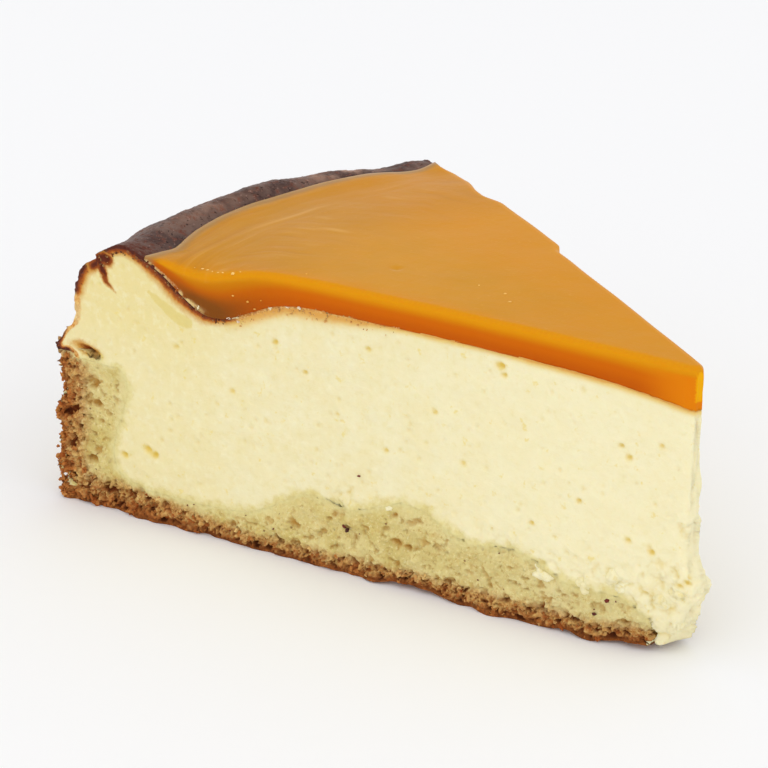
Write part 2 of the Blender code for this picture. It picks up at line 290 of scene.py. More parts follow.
def filling_lines():
    """Lower, outer, upper and tip lines of the filling's section, soaked a little into the crust."""
    over_crust = raised(crust_top_points(), -SOAK)
    over_crust[-1] = np.array([RIM_WALL, WALL_HEIGHT - 3.4])
    over_crust[-2][1] = WALL_HEIGHT - 4.4
    in_front = CRUST_TIP - 0.6
    hanging = [
        np.array([FILLING_TIP + TIP_WORN, 0.5]),
        np.array([in_front, 0.9]),
        np.array([in_front, 0.5 * BASE_THICKNESS]),
    ]
    lower = Path(hanging + over_crust)
    upper = FILLING_TOP_LINE
    tip = Path([
        lower.line[0],
        (FILLING_TIP + 0.5 * TIP_WORN, 0.6 * BASE_THICKNESS),
        (FILLING_TIP, 1.4 * BASE_THICKNESS),
        (FILLING_TIP, 0.5 * PLATEAU),
        upper.line[0],
    ])
    outer = Path([
        lower.line[-1],
        (RIM_WALL, CREST_LEVEL - 4.5 * SHOULDER_DROP),
        (RIM_WALL - 1.2, CREST_LEVEL - 2.3 * SHOULDER_DROP),
        upper.line[-1],
    ])
    return lower, outer, upper, tip


def glaze_lines():
    """Lower, outer, upper and tip lines of the glaze's section, its foot sunk a little in the filling."""
    on_filling = top_points(FILLING_TIP, GLAZE_EDGE_RADIUS, filling_top)
    lower = Path(raised(on_filling, -0.15))
    cad_lower = Path(raised(on_filling, 0.3))
    tip_top = cad_lower.line[0] + (0, GLAZE_TIP_THICKNESS)
    edge_top = cad_lower.line[-1] + (0, GLAZE_EDGE_THICKNESS)
    upper = Path([
        tip_top,
        (0.4 * TROUGH_RADIUS, GLAZE_LEVEL),
        (0.9 * TROUGH_RADIUS, GLAZE_LEVEL),
        edge_top,
    ])
    return lower, Path([lower.line[-1], edge_top]), upper, Path([lower.line[0], tip_top])


BACKWARDS = (False, False, True, True)  # which of a section's four lines run back round its outline


def inside_of(loop, points):
    """Which points are inside a closed outline."""
    hit = np.zeros(len(points), bool)
    for first, second in zip(loop, np.roll(loop, -1, axis=0)):
        if first[1] == second[1]:
            continue
        spans = (first[1] > points[:, 1]) != (second[1] > points[:, 1])
        share = (points[:, 1] - first[1]) / (second[1] - first[1])
        hit ^= spans & (points[:, 0] < first[0] + share * (second[0] - first[0]))
    return hit


def clear_of(points, others, room):
    """Which points keep at least that far from all the others."""
    keep = []
    for part in np.array_split(points, max(1, len(points) // 4000)):
        keep.append(((part[:, None] - others[None]) ** 2).sum(-1).min(1) > room**2)
    return np.concatenate(keep)


def lattice(low, high, spacing):
    """Points of an even triangular lattice over a box."""
    rows = np.arange(low[1], high[1], spacing * 0.866)
    columns = np.arange(low[0], high[0], spacing)
    x = columns[None] + (np.arange(len(rows)) % 2)[:, None] * spacing / 2
    return np.stack([x.ravel(), np.repeat(rows, len(columns))], -1)


def triangulated(boundary, inner):
    """Triangles over a flat outline and points inside it, as indices of both together."""
    flat = np.vstack([boundary, inner]) if len(inner) else boundary
    vectors = [Vector(point) for point in flat.tolist()]
    made = geometry.delaunay_2d_cdt(vectors, [], [list(range(len(boundary)))], 1, 1e-7)
    source = [ids[0] for ids in made[3]]
    return np.array([[source[i] for i in face] for face in made[2]])


def layer_mesh(lines, near_spacing, near_inner, far_inner, side_spacing):
    """Points as radius, height and share across, and triangles, of a spun layer.

    The spacings, in millimetres, are along the outline of both cuts, inside the near cut and inside the
    far one; side_spacing gives the faces' size on the spun surface by each of the four lines, as a number
    or by radius.
    """
    loop, sizes = [], []
    for line, back, size in zip(lines, BACKWARDS, side_spacing):
        part = line.spaced(near_spacing, back)
        loop.append(part)
        sizes.append(size(part[:, 0]) if callable(size) else np.full(len(part), size))
    loop = np.vstack(loop)
    sizes = np.concatenate(sizes)
    count = len(loop)
    points = [np.column_stack([loop, np.full(count, share)]) for share in (0.0, 1.0)]
    triangles = []
    total = 2 * count
    for share, spacing in ((0.0, near_inner), (1.0, far_inner)):
        inner = lattice(loop.min(0), loop.max(0), spacing)
        inner = inner[inside_of(loop, inner)]
        inner = inner[clear_of(inner, loop, 0.6 * spacing)]
        faces = triangulated(loop, inner)
        start = 0 if share == 0 else count
        ids = np.concatenate([np.arange(start, start + count), np.arange(total, total + len(inner))])
        faces = ids[faces]
        triangles.append(faces[:, ::-1] if share == 0 else faces)
        points.append(np.column_stack([inner, np.full(len(inner), share)]))
        total += len(inner)
    # The spun surface, laid flat as length along the outline against width across
    closed = np.vstack([loop, loop[:1]])
    reach = np.concatenate([[0.0], np.cumsum(np.linalg.norm(np.diff(closed, axis=0), axis=1))])
    sizes = np.append(sizes, sizes[0])
    width = SLICE_ANGLE * closed[:, 0]
    seam_count = max(2, round(width[0] / sizes[0]))
    seam = np.arange(1, seam_count) / seam_count
    seam_ids = np.arange(total, total + len(seam))
    points.append(np.column_stack([np.tile(loop[0], (len(seam), 1)), seam]))
    total += len(seam)
    boundary = np.vstack([
        np.column_stack([reach, -width / 2]),
        np.column_stack([np.full(len(seam), reach[-1]), (seam - 0.5) * width[0]]),
        np.column_stack([reach, width / 2])[::-1],
        np.column_stack([np.zeros(len(seam)), (seam[::-1] - 0.5) * width[0]]),
    ])
    near_ids = np.append(np.arange(count), 0)
    ids = np.concatenate([near_ids, seam_ids, near_ids[::-1] + count, seam_ids[::-1]])
    inner, at = [], 0.0
    turn = 0
    while True:
        size = np.interp(at, reach, sizes)
        at += size * 0.866
        if at > reach[-1] - 0.6 * size:
            break
        wide = np.interp(at, reach, width)
        room = wide - 1.3 * min(size, near_spacing * 2)
        if room < size * 0.3:
            continue
        number = max(1, round(room / size))
        across = (np.arange(number) + (0.25 if turn % 2 else 0.75)) / number * room - room / 2
        turn += 1
        inner.append(np.column_stack([np.full(number, at), across]))
    inner = np.vstack(inner)
    faces = triangulated(boundary, inner)
    ids = np.concatenate([ids, np.arange(total, total + len(inner))])
    triangles.append(ids[faces])
    radius = np.interp(inner[:, 0], reach, closed[:, 0])
    height = np.interp(inner[:, 0], reach, closed[:, 1])
    share = inner[:, 1] / (SLICE_ANGLE * radius) + 0.5
    points.append(np.column_stack([radius, height, share]))
    return np.vstack(points), np.vstack(triangles)


def remap_level(height, old, new, high):
    below = height * new / old
    above = high - (high - height) * (high - new) / (high - old)
    return np.where(height >= high, height, np.where(height < old, below, above))


def wandered(radius, across, height):
    moved = remap_level(height, base_top(radius, 0), base_top(radius, across), 36.0)
    height = np.where(radius < WALL_FOOT, moved, height)
    in_dish = step(height, 30, 42) * (1 - step(height, 48, 53))
    trough = TROUGH_WANDER * wave(across * 2.6, 7) * step(across, 0, 0.2)
    height = height + trough * bell(radius - TROUGH_RADIUS, 12) * in_dish
    on_rim = step(radius, GLAZE_EDGE_RADIUS, CREST_RADIUS) * step(height, 36, 50)
    crest = CREST_WANDER * wave(across * 9, 2) - CREST_DIP * bell(across - 0.84, 0.09)
    crest = crest + CREST_SWELL * (step(across, 0.05, 0.2) - step(across, 0.6, 0.8))
    crest = crest + 0.25 * grain(radius, across * SLICE_ANGLE, height, 5, 3) + np.interp(across, *CREST_SHIFT)
    height = height + crest * on_rim
    drift = step(radius, 88, 108) * step(height, 34, 46)
    radius = radius + RIM_DRIFT * wave(across * 7, 8) * drift * step(across, 0, 0.15)
    return radius, height


def cut_relief(name, radius, angle, height, far):
    seed = 2 if far else 1
    if name == "glaze":
        bulge = 0.3 * wave(radius / 16, seed + 2)
        if far:
            torn = step(radius, 57, 61) - step(radius, 83, 90) + 0.7 * step(radius, 92, 99)
            return bulge + FAR_BULGE * torn * (1 - step(radius, 104, 110))
        return bulge + 0.8 * bell(radius - SAG_RADIUS, 12)
    smooth = 0.4 * wave(radius / 14, seed + 5) + 0.25 * grain(radius, angle, height, 4, seed)
    if name == "filling":
        return smooth
    lumps = 0.8 * grain(radius, angle, height, 2.3 * CRUMB, seed)
    lumps = lumps + 0.8 * grain(radius, angle, height, CRUMB, seed + 4)
    # The crumb is as smooth as the cheese where the two run into each other
    own = step(CRUST_TOP.distance(np.column_stack([radius, height])), 0.5, 5.0)
    return smooth + (lumps - smooth) * own


def rim_relief(name, radius, angle, height):
    if name == "crust":
        reach = step(radius, WALL_INNER, CAKE_RADIUS)
        lumps = 1.3 * grain(radius, angle, height, 2.6 * CRUMB, 11)
        return reach * (lumps + 1.5 * grain(radius, angle, height, 1.4 * CRUMB, 12))
    if name == "filling":
        reach = step(radius, WALL_INNER, RIM_WALL)
        uneven = 1 - 0.6 * np.abs(wave(angle * 14, 4))
        ledge = LEDGE_REACH * uneven * bell(height - LEDGE_LEVEL, LEDGE_HALF_HEIGHT)
        notch = bell(np.hypot(radius - NOTCH[0], height - NOTCH[1]), 1.3) * (1 - step(angle * radius, 1, 9))
        return reach * (ledge + 0.7 * grain(radius, angle, height, 6, 13)) - 1.2 * notch
    return 0.0


def glaze_edge_moved(radius, height, across):
    """The glaze's edge where it runs further up the rim, or less far, than in the near cut's section."""
    shift = np.interp(across, *EDGE_SHIFT) * step(radius, 100, 110.5)
    under = filling_top(radius)
    on_top = np.clip((height - under) / np.maximum(GLAZE_LEVEL - under, 0.1), 0, 1)
    weight = 1 + (step(radius, 104, 110.5) - 1) * on_top
    return radius + shift, height + weight * (filling_top(radius + shift) - under)


def lip_drop(radius, across, height):
    from_near = radius * np.sin(across * SLICE_ANGLE)
    from_far = radius * np.sin((1 - across) * SLICE_ANGLE)
    from_tip = radius - FILLING_TIP
    drop = 0.0
    for distance, lip in ((from_near, LIP), (from_far, LIP), (from_tip, 0.8 * LIP)):
        inside = np.clip(1 - distance / lip, 0, 1)
        drop = drop + 0.6 * lip * (1 - np.sqrt(1 - inside * inside))
    sag = SAG_DEPTH * bell(radius - SAG_RADIUS, 9) * np.exp(-from_near / 6)
    top = step(height, filling_top(radius) + 0.6, GLAZE_LEVEL)
    return (np.minimum(drop, 1.5) + sag) * top


def bottom_chip(radius, across, height):
    to_cut = np.minimum(across, 1 - across) * SLICE_ANGLE * radius
    at_edge = (1 - step(to_cut, 0, CRUMB)) * (1 - step(height, 0, 4))
    gap = (1.1 * bell(radius - 55, 6.5) + 0.8 * bell(radius - 24, 2.5)) * (across < 0.5)
    return at_edge * (1.6 * np.maximum(0.0, wave(radius / 9 + across * 30, 5) - 0.1) + gap)


def tip_smear(radius, angle, height):
    front = 1 - step(radius, FILLING_TIP, 8)
    ragged = np.stack([height / 5, angle * 9, np.full_like(height, 3.3)], -1)
    bulge = SMEAR_REACH * bell(height - SMEAR_LEVEL, SMEAR_HALF_HEIGHT)
    return front * (0.6 * perlin(ragged) + bulge)


def tip_worn(radius, height):
    share = 1 - step(radius, FILLING_TIP, TIP_WORN_LENGTH)
    return 0.7 * TIP_WORN * share * (1 - step(height, 0, 1.6 * BASE_THICKNESS))


def tip_lift(radius, height):
    by_tip = 1 - step(radius, FILLING_TIP, TIP_WORN_LENGTH)
    return 1.2 * by_tip * (1 - step(height, 0, BASE_THICKNESS))


def placed(name, points):
    """Where the points of a layer lie in the real, uneven slice."""
    radius, height, across = points.T
    if name == "glaze":
        radius, height = glaze_edge_moved(radius, height, across)
    angle = across * SLICE_ANGLE
    to_near = angle * radius
    to_far = SLICE_ANGLE * radius - to_near
    lean = CUT_LEAN * (1 - step(height, 0, 50))
    near = (lean - tip_worn(radius, height)) * (1 - across)
    near = near + cut_relief(name, radius, 0, height, False) * (1 - step(to_near, 0, 6))
    far = (lean + FAR_SPREAD) * across
    far = far + cut_relief(name, radius, SLICE_ANGLE, height, True) * (1 - step(to_far, 0, 6))
    turned, level = wandered(radius, across, height)
    if name == "glaze":
        level = level - lip_drop(radius, across, height)
    if name == "crust":
        level = level + bottom_chip(radius, across, height)
    level = level + tip_lift(radius, height)
    turned = turned + rim_relief(name, radius, angle, height)
    if name == "filling":
        hanging = step(turned, 127.2, 130.6) * bell(height - LEDGE_LEVEL, 3.5)
        level = level - 2.0 * hanging * (1 - 0.6 * step(across, 0.08, 0.3))
    # The knife rounds the two upright edges of the tip
    inside = np.clip(1 - (radius - FILLING_TIP) / TIP_ROUND, 0, 1)
    rounded = 0.3 * TIP_ROUND * inside * inside
    near = near - rounded * (1 - across)
    far = far - rounded * across
    x = -turned * np.cos(angle - HALF) + (near + far) * math.sin(HALF)
    y = turned * np.sin(angle - HALF) + (far - near) * math.cos(HALF)
    if name == "filling":
        x = x + tip_smear(radius, angle, height)
    return np.stack([x, y, level], -1)


def normals_of(points, faces):
    """The unit normal at each point."""
    corners = points[faces]
    across = np.cross(corners[:, 1] - corners[:, 0], corners[:, 2] - corners[:, 0])
    total = np.zeros_like(points)
    for k in range(3):
        np.add.at(total, faces[:, k], across)
    return total / np.maximum(np.linalg.norm(total, axis=1, keepdims=True), 1e-9)


def place(name, points, faces, material, masks, smooth=True):
    """Makes the mesh in the frame, with its masks, its material and its body."""
    mesh = bpy.data.meshes.new(name)
    mesh.from_pydata(((points + AXIS) * MM).tolist(), [], faces.tolist())
    for mask, values in masks.items():
        layer = mesh.attributes.new(mask, "FLOAT", "POINT")
        layer.data.foreach_set("value", np.ascontiguousarray(values, np.float32))
    mesh.materials.append(material)
    if smooth:
        mesh.shade_smooth()
    piece = bpy.data.objects.new(name, mesh)
    bpy.context.scene.collection.objects.link(piece)
    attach(piece, "root")
    return piece


def linear(colour):
    """An 8-bit colour as the shader's linear one."""
    out = []
    for value in colour:
        value /= 255
        out.append(value / 12.92 if value <= 0.04045 else ((value + 0.055) / 1.055) ** 2.4)
    return (*out, 1.0)


class Look:
    """A material being wired: each call adds nodes and gives their output."""

    def __init__(self, name, roughness, specular):
        self.material = bpy.data.materials.new(name)
        self.material.use_nodes = True
        self.tree = self.material.node_tree
        self.shader = self.tree.nodes["Principled BSDF"]
        self.set("Roughness", roughness)
        self.set("Specular IOR Level", specular)
        metres = self.add("TexCoord", {}, "Object")
        self.millimetres = self.add("VectorMath", {0: metres, "Scale": 1 / MM}, "Vector", operation="SCALE")

    def put(self, socket, value):
        if isinstance(value, bpy.types.NodeSocket):
            self.tree.links.new(value, socket)
        elif value is not None:
            socket.default_value = value

    def set(self, name, value):
        self.put(self.shader.inputs[name], value)

    def add(self, kind, inputs, output, **settings):
        node = self.tree.nodes.new("ShaderNode" + kind)
        for name, value in settings.items():
            setattr(node, name, value)
        for name, value in inputs.items():
            self.put(node.inputs[name], value)
        return node.outputs[output]

    def mask(self, name):
        return self.add("Attribute", {}, "Fac", attribute_name=name)

    def noise(self, size, detail, roughness):
        """Noise about 0.5, with lumps of the given size in millimetres."""
        inputs = {"Scale": 1 / size, "Detail": detail, "Roughness": roughness, "Vector": self.millimetres}
        return self.add("TexNoise", inputs, "Fac")

    def cells(self, size):
        return self.add("TexVoronoi", {"Scale": 1 / size, "Vector": self.millimetres}, "Distance")

    def math(self, operation, *values, clamp=False):
        return self.add("Math", dict(enumerate(values)), 0, operation=operation, use_clamp=clamp)

    def times(self, first, second):
        return self.math("MULTIPLY", first, second)

    def between(self, value, low, high, smooth=True):
        """0 below low, 1 above high; low may be the higher one."""
        ends = {"From Min": min(low, high), "From Max": max(low, high)}
        ends.update({"To Min": float(low > high), "To Max": float(low <= high)})
        curve = "SMOOTHSTEP" if smooth else "LINEAR"
        return self.add("MapRange", {"Value": value, **ends}, "Result", interpolation_type=curve)

    def patches(self, size, detail, roughness, low, high):
        return self.between(self.noise(size, detail, roughness), low, high)

    def ragged(self, value, reach, size, detail, roughness):
        """The value, made uneven by noise of the given reach."""
        return self.shaken(value, self.noise(size, detail, roughness), reach)

    def shaken(self, value, noise, reach):
        return self.math("ADD", value, self.math("MULTIPLY_ADD", noise, reach, -reach / 2))

    def mix(self, share, first, second, amount=1.0):
        """Colour mix, no stronger than the amount; plain tuples are 8-bit colours."""
        if amount < 1:
            share = self.times(share, amount)
        first, second = (linear(value) if isinstance(value, tuple) else value for value in (first, second))
        return self.add("Mix", {0: share, 6: first, 7: second}, 2, data_type="RGBA")

    def layers(self, colour, *layers):
        """Colours laid over one another: (share, colour) or (share, colour, amount) each."""
        for share, over, *amount in layers:
            colour = self.mix(share, colour, over, *amount)
        return colour

    def toned(self, dark, pale, low=0.0, high=1.0):
        """A small bit's colour, by its tone."""
        return self.mix(self.between(self.mask("tone"), low, high, False), dark, pale)

    def soft(self, weight, radius, scale):
        self.set("Subsurface Weight", weight)
        self.set("Subsurface Radius", radius)
        self.set("Subsurface Scale", scale * MM)

    def done(self, colour, *bumps):
        """Sets the colour and the bumps, (height 0 to 1, depth in millimetres) each."""
        normal = None
        for height, depth in bumps:
            inputs = {"Strength": 1.0, "Distance": depth * MM, "Height": height, "Normal": normal}
            normal = self.add("Bump", inputs, "Normal")
        self.set("Base Color", colour)
        self.set("Normal", normal)
        return self.material


# cut faces of crust and filling

# Where the cut is curdled and torn instead of smooth: distance from the axis, height, spread
TORN = (
    (47, 10, 6), (38, 9, 7), (28, 10, 5), (20, 11, 5), (11, 11, 7), (4, 6, 8), (5, 14, 6), (3, 26, 3),
    (68, 14, 3),
)
# Holes in the near cut: distance from the axis, height, radius, depth
PITS = (
    (110.5, 14.5, 0.8, 0.8), (109.0, 13.6, 0.7, 0.8), (38.4, 46.4, 0.8, 0.8), (37.6, 44.9, 0.6, 0.6),
    (83.1, 41.2, 0.6, 0.6), (60.1, 25.9, 0.5, 0.5), (76.9, 36.8, 0.5, 0.5), (50.6, 35.2, 0.5, 0.5),
    (15.4, 37.2, 0.5, 0.5), (13.9, 35.4, 0.6, 0.6), (8.1, 38.8, 0.5, 0.5), (13.3, 20.6, 0.6, 0.6),
    (8.8, 19.5, 0.6, 0.7), (22.6, 25.5, 0.5, 0.6), (31.1, 19.4, 0.5, 0.6), (64.0, 44.0, 0.5, 0.4),
    (92.0, 30.0, 0.5, 0.4), (104.0, 36.0, 0.5, 0.4), (70.0, 30.5, 0.5, 0.4), (45.0, 27.0, 0.5, 0.4),
    (4.6, 15.0, 0.5, 0.7), (3.4, 15.7, 0.5, 0.7), (2.4, 16.6, 0.5, 0.6), (123.4, 30.9, 1.2, 1.0),
    (122.0, 30.4, 1.2, 1.1), (116.0, 12.0, 0.7, 0.8), (112.4, 5.6, 0.8, 1.0), (106.5, 4.2, 0.8, 0.9),
    (58.2, 13.9, 0.6, 0.8), (57.6, 8.8, 1.0, 1.3), (55.4, 8.3, 0.7, 1.1), (121.9, 20.7, 0.9, 1.1),
    (122.6, 24.6, 1.1, 1.2), (122.7, 9.8, 0.9, 1.1), (122.9, 5.7, 0.9, 1.0), (114.6, 4.4, 0.8, 0.9),
)


def under_crust_top(radius, height):
    """How far below the crust's top line a point is, negative in the filling."""
    points = np.column_stack([radius, height])
    loop = np.vstack([line.spaced(1.0, back) for line, back in zip(crust_lines(), BACKWARDS)])
    away = CRUST_TOP.distance(points)
    return np.where(inside_of(loop, points), away, -away)


def on_either_cut(across):
    return (across < 1e-6) | (across > 1 - 1e-6)


def holes(points, radius, height, across):
    """How deep the near cut's own holes are."""
    depth = np.zeros_like(radius)
    near = across < 1e-6
    ragged = np.zeros_like(radius)
    ragged[near] = perlin(points[near] / 0.7)
    for at, level, size, deep in PITS:
        off = np.hypot(radius - at, (height - level) * 1.25) + 0.35 * size * ragged
        depth += near * deep * bell(off, size)
    return depth


def torn_share(radius, height):
    share = np.zeros_like(radius)
    for at, level, spread in TORN:
        share = np.maximum(share, bell(np.hypot(radius - at, height - level), spread))
    return share


def cheese_relief(points, torn):
    """Fine relief of cut cheese: even grain, small pores, and curds where it tore."""
    relief = 0.1 * fractal(points, 3.2, 4, 2) + 0.05 * fractal(points, 0.9, 2, 3)
    pore, _, own = cells(points, 2.1, 4)
    relief -= 0.35 * bell(pore, 0.1 + 0.14 * own) * (own > 0.55)
    curd, edge, lump = cells(points + 0.5 * fractal(points, 1.6, 2, 6)[:, None], 2.2, 5)
    lumps = 0.75 * (np.clip(1 - (curd / 0.8) ** 2, 0, 1) - 0.5) + 0.6 * (lump - 0.5)
    relief += torn * (lumps + 0.22 * fractal(points, 0.9, 3, 8))
    return relief


def crumb_relief(points, rough):
    """Relief of open crumb: flaky grains at uneven heights with dark holes between them."""
    bent = np.column_stack([fractal(points, 0.9, 3, seed) for seed in (3, 14, 15)])
    first, second, own = cells(points * np.array([1.0, 1.0, 1.25]) + 0.5 * bent, 1.0, 1)
    relief = 0.85 * (own - 0.5) - 0.5 * (1 - step(second - first, 0, 0.14)) * (own > 0.5)
    fine, _, lump = cells(points + 0.3 * bent, 0.55, 2)
    relief += 0.4 * (lump - 0.5) + 0.45 * fractal(points, 1.3, 4, 7)
    relief = relief * (0.34 + 0.7 * rough)
    torn = fractal(points * np.array([1.0, 1.0, 1.3]), 2.1, 3, 9)
    relief -= (0.5 + 0.65 * rough) * step(torn, 0.2, 0.5)
    return relief + 0.2 * fractal(points, 5.0, 3, 1)


def cream_colour(look):
    """The cheese where it is neither browned nor soaked."""
    fine = look.noise(1.6, 4, 0.6)
    return look.layers(
        look.mix(look.patches(7.0, 3, 0.55, 0.35, 0.65), (242, 233, 192), (241, 230, 184)),
        (look.mask("warm"), (236, 219, 152), 0.8),
        (look.between(fine, 0.48, 0.75), (247, 240, 204), 0.5),
        (look.between(fine, 0.46, 0.3), (234, 220, 158), 0.4),
        (look.mask("white"), (249, 240, 200), 0.5),
        (look.patches(1.7, 3, 0.6, 0.62, 0.74), (236, 214, 118), 0.55),
        # Painted shade: the cheese's hollows are coloured a darker, warmer yellow.
        (look.mask("hollow_shade"), (232, 206, 112), 0.7),
    )


def crumb_colour(look):
    """The crust's crumb, from its pale inside to the baked rind, by the rind mask."""
    fine = look.noise(0.55, 4, 0.7)
    mottle = look.noise(1.6, 4, 0.65)
    # Painted shade and light: the crumb's hollows are coloured darker and its raised grains paler.
    hollow_shade, ridge_light = look.mask("hollow_shade"), look.mask("ridge_light")
    pale = look.layers(
        look.mix(look.patches(6.0, 3, 0.5, 0.35, 0.65), (216, 196, 121), (230, 213, 147)),
        (look.mask("white"), (240, 229, 176), 0.35),
        (look.between(fine, 0.5, 0.75), (241, 229, 174)),
        (look.between(mottle, 0.52, 0.7), (206, 170, 92), 0.5),
        (look.patches(0.9, 3, 0.7, 0.56, 0.7), (192, 158, 80), 0.7),
        (hollow_shade, (192, 142, 62), 0.9),
        (ridge_light, (242, 230, 174), 0.7),
    )
    tan = look.layers(
        look.mix(look.between(fine, 0.35, 0.62), (182, 124, 62), (220, 178, 108)),
        (look.between(mottle, 0.48, 0.6), (176, 104, 50)),
        (look.patches(0.6, 3, 0.7, 0.6, 0.7), (118, 58, 24)),
        (hollow_shade, (116, 56, 22)),
        (ridge_light, (232, 194, 122), 0.6),
    )
    rind = look.layers(
        look.mix(look.between(mottle, 0.35, 0.6), (198, 122, 58), (160, 90, 42)),
        (look.patches(0.8, 4, 0.7, 0.55, 0.68), (108, 54, 26)),
        (hollow_shade, (92, 42, 20)),
        (ridge_light, (222, 150, 80), 0.6),
    )
    at = look.shaken(look.mask("rind"), mottle, 2.6)
    spot = look.times(look.between(look.cells(2.3), 0.15, 0.09), look.patches(3.1, 1, 0.55, 0.58, 0.62))
    return look.layers(
        rind,
        (look.between(at, 0.3, 1.2), tan),
        (look.between(at, 1.5, 3.1), pale),
        (spot, (112, 54, 30), 0.8),
    )


def soaked_mix(look, crumb, cream):
    """Cheese over crumb with a soft, ragged border, the same in both meshes."""
    at = look.ragged(look.mask("under"), 5.0, 2.6, 4, 0.6)
    moist = look.mix(look.patches(1.2, 3, 0.6, 0.4, 0.7), (232, 219, 156), (222, 205, 138))
    return look.layers(crumb, (look.between(at, 2.6, 0.6), moist), (look.between(at, 0.7, -1.3), cream))


# crust


def rind_share(radius, height):
    """0 on the baked outside of the crust, 1 under its rind, 2.6 where its pale inside starts."""
    thick = np.interp(radius, (30, 60, 90, 112), (1.7, 1.5, 1.25, 2.6))
    return np.minimum((CAKE_RADIUS - radius) / 2.5, height / thick)


def warm_share(radius, height):
    """The cheese is a little yellower near the rim, most so up in it."""
    return step(radius, 78, 114) * (0.45 + 0.55 * step(height, 28, 42))


def soaked_depth(radius, height):
    """How far below the crust's top a point looks: the cheese has run down over the wall's top."""
    run = 2.4 * bell(height - 31, 2.6) * step(radius, 117, 120) * (1 - step(radius, 126, 127.5))
    return under_crust_top(radius, height) - run


def white_share(radius, height):
    """It is whiter by the tip, and in a smear along the crust's wall."""
    smear = bell(radius - 116.3, 0.8) * bell(height - 22, 5.5)
    return np.clip(1 - step(radius, 20, 75) + 1.4 * smear, 0, 1.6)


def crust_material():
    look = Look("baked crumb crust", 0.75, 0.08)
    crumb = look.layers(
        crumb_colour(look),
        (look.times(look.mask("edge"), look.patches(1.3, 4, 0.65, 0.3, 0.6)), (104, 56, 28), 0.75),
        (look.mask("side"), (218, 146, 76), 0.6),
    )
    colour = soaked_mix(look, crumb, cream_colour(look))
    colour = look.mix(look.mask("browned"), colour, (158, 104, 42), 0.85)
    look.soft(0.15, (1.0, 0.7, 0.4), 1.5)
    return look.done(colour, (look.noise(0.7, 4, 0.7), 0.3), (look.noise(0.25, 2, 0.6), 0.1))


def make_crust():
    sizes = (3.0, 0.34, 2.6, 0.34)
    spun, faces = layer_mesh(crust_lines(), 0.3, 0.27, 0.38, sizes)
    points = placed("crust", spun)
    normals = normals_of(points, faces)
    radius, height, across = spun.T
    rind = rind_share(radius, height)
    under = soaked_depth(radius, height)
    cheese = cheese_relief(points, torn_share(radius, height))
    crumb = crumb_relief(points, 1 - step(rind, 1.2, 3.2))
    own = np.where(radius > 128, 1.0, step(under, 0.3, 3.5))
    relief = (cheese + (crumb - cheese) * own) * step(height, 0.0, 0.8)
    relief -= holes(points, radius, height, across)
    # Its top line is sunk under the filling's mesh, so that no edge of it shows
    relief -= 0.5 * (1 - step(under, 0.0, 0.9)) * (radius > CRUST_TIP + 2)
    relief = relief * (on_either_cut(across) | (radius > WALL_INNER) | (radius < CRUST_TIP + 2))
    points = points + normals * relief[:, None]
    points[:, 2] = np.maximum(points[:, 2], 0.0)
    masks = {
        "rind": np.clip(rind, -1, 6),
        "under": np.clip(under, -6, 6),
        "edge": 1 - step(height, 0.3, 2.0),
        "browned": browned_hole(radius, height) * (across < 0.5),
        # Painted shade in the hollows and painted light on the raised grains, by the relief's depth.
        "hollow_shade": np.clip((-relief - 0.15) / 0.65, 0, 1),
        "ridge_light": np.clip((relief - 0.12) / 0.5, 0, 1),
        "side": ~on_either_cut(across) * step(radius, 126, 129.5),
        "white": white_share(radius, height),
        "warm": warm_share(radius, height),
    }
    piece = place("crust_crumb", points, faces, crust_material(), masks)
    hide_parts("crust")
    return points, normals, spun, rind


# filling


def skin_thickness(radius):
    return np.interp(
        radius,
        (45, 75, 88, 92, 96, 100, 105, 110, 114, 118, 122, 127),
        (0.4, 0.6, 0.8, 1.0, 1.4, 1.9, 2.1, 1.9, 1.4, 1.2, 1.6, 1.1),
    )


def skin_strength(radius):
    return np.interp(radius, (50, 58, 84, 90, 94, 100), (0.0, 0.15, 0.28, 0.55, 0.9, 1.0))


def browned_hole(radius, height):
    """The oval hole in the near cut, just below the ledge at the wall's top."""
    return bell(np.hypot((radius - 122.9) / 1.9, (height - 31.1) / 1.4), 1.0)


def scorched(radius, height):
    """How burnt the near cut is by the crack in the rim's crest, and round the hole below the ledge."""
    flat = np.column_stack([radius, height])
    blob = Path([(122.6, 48.0), (121.4, 49.2), (120.0, 49.6), (119.0, 49.4)]).distance(flat)
    branch = Path([(120.9, 48.8), (120.1, 46.9), (119.3, 45.1), (117.9, 43.9), (117.0, 43.2)]).distance(flat)
    narrow = np.interp(height, (43.4, 45.0, 48.5), (0.3, 0.55, 1.2))
    faded = np.interp(height, (43.0, 43.6, 45.0, 47.0), (0.0, 0.42, 0.6, 1.0))
    crack = np.maximum(bell(blob, 1.35), bell(branch, narrow) * faded)
    return np.maximum(crack, 0.62 * browned_hole(radius, height))


def glassy_share(radius, height):
    """The clearer, yellower patch of cheese below the skin, wider at its lower end."""
    away = Path([(109.7, 45.3), (107.3, 43.8), (104.4, 42.1), (102.0, 41.2), (100.9, 41.2)])
    wide = np.interp(radius, (100.3, 102, 105, 108, 110), (0.7, 1.35, 1.2, 0.8, 0.3))
    return 1 - step(away.distance(np.column_stack([radius, height])) / wide, 0.55, 1.25)


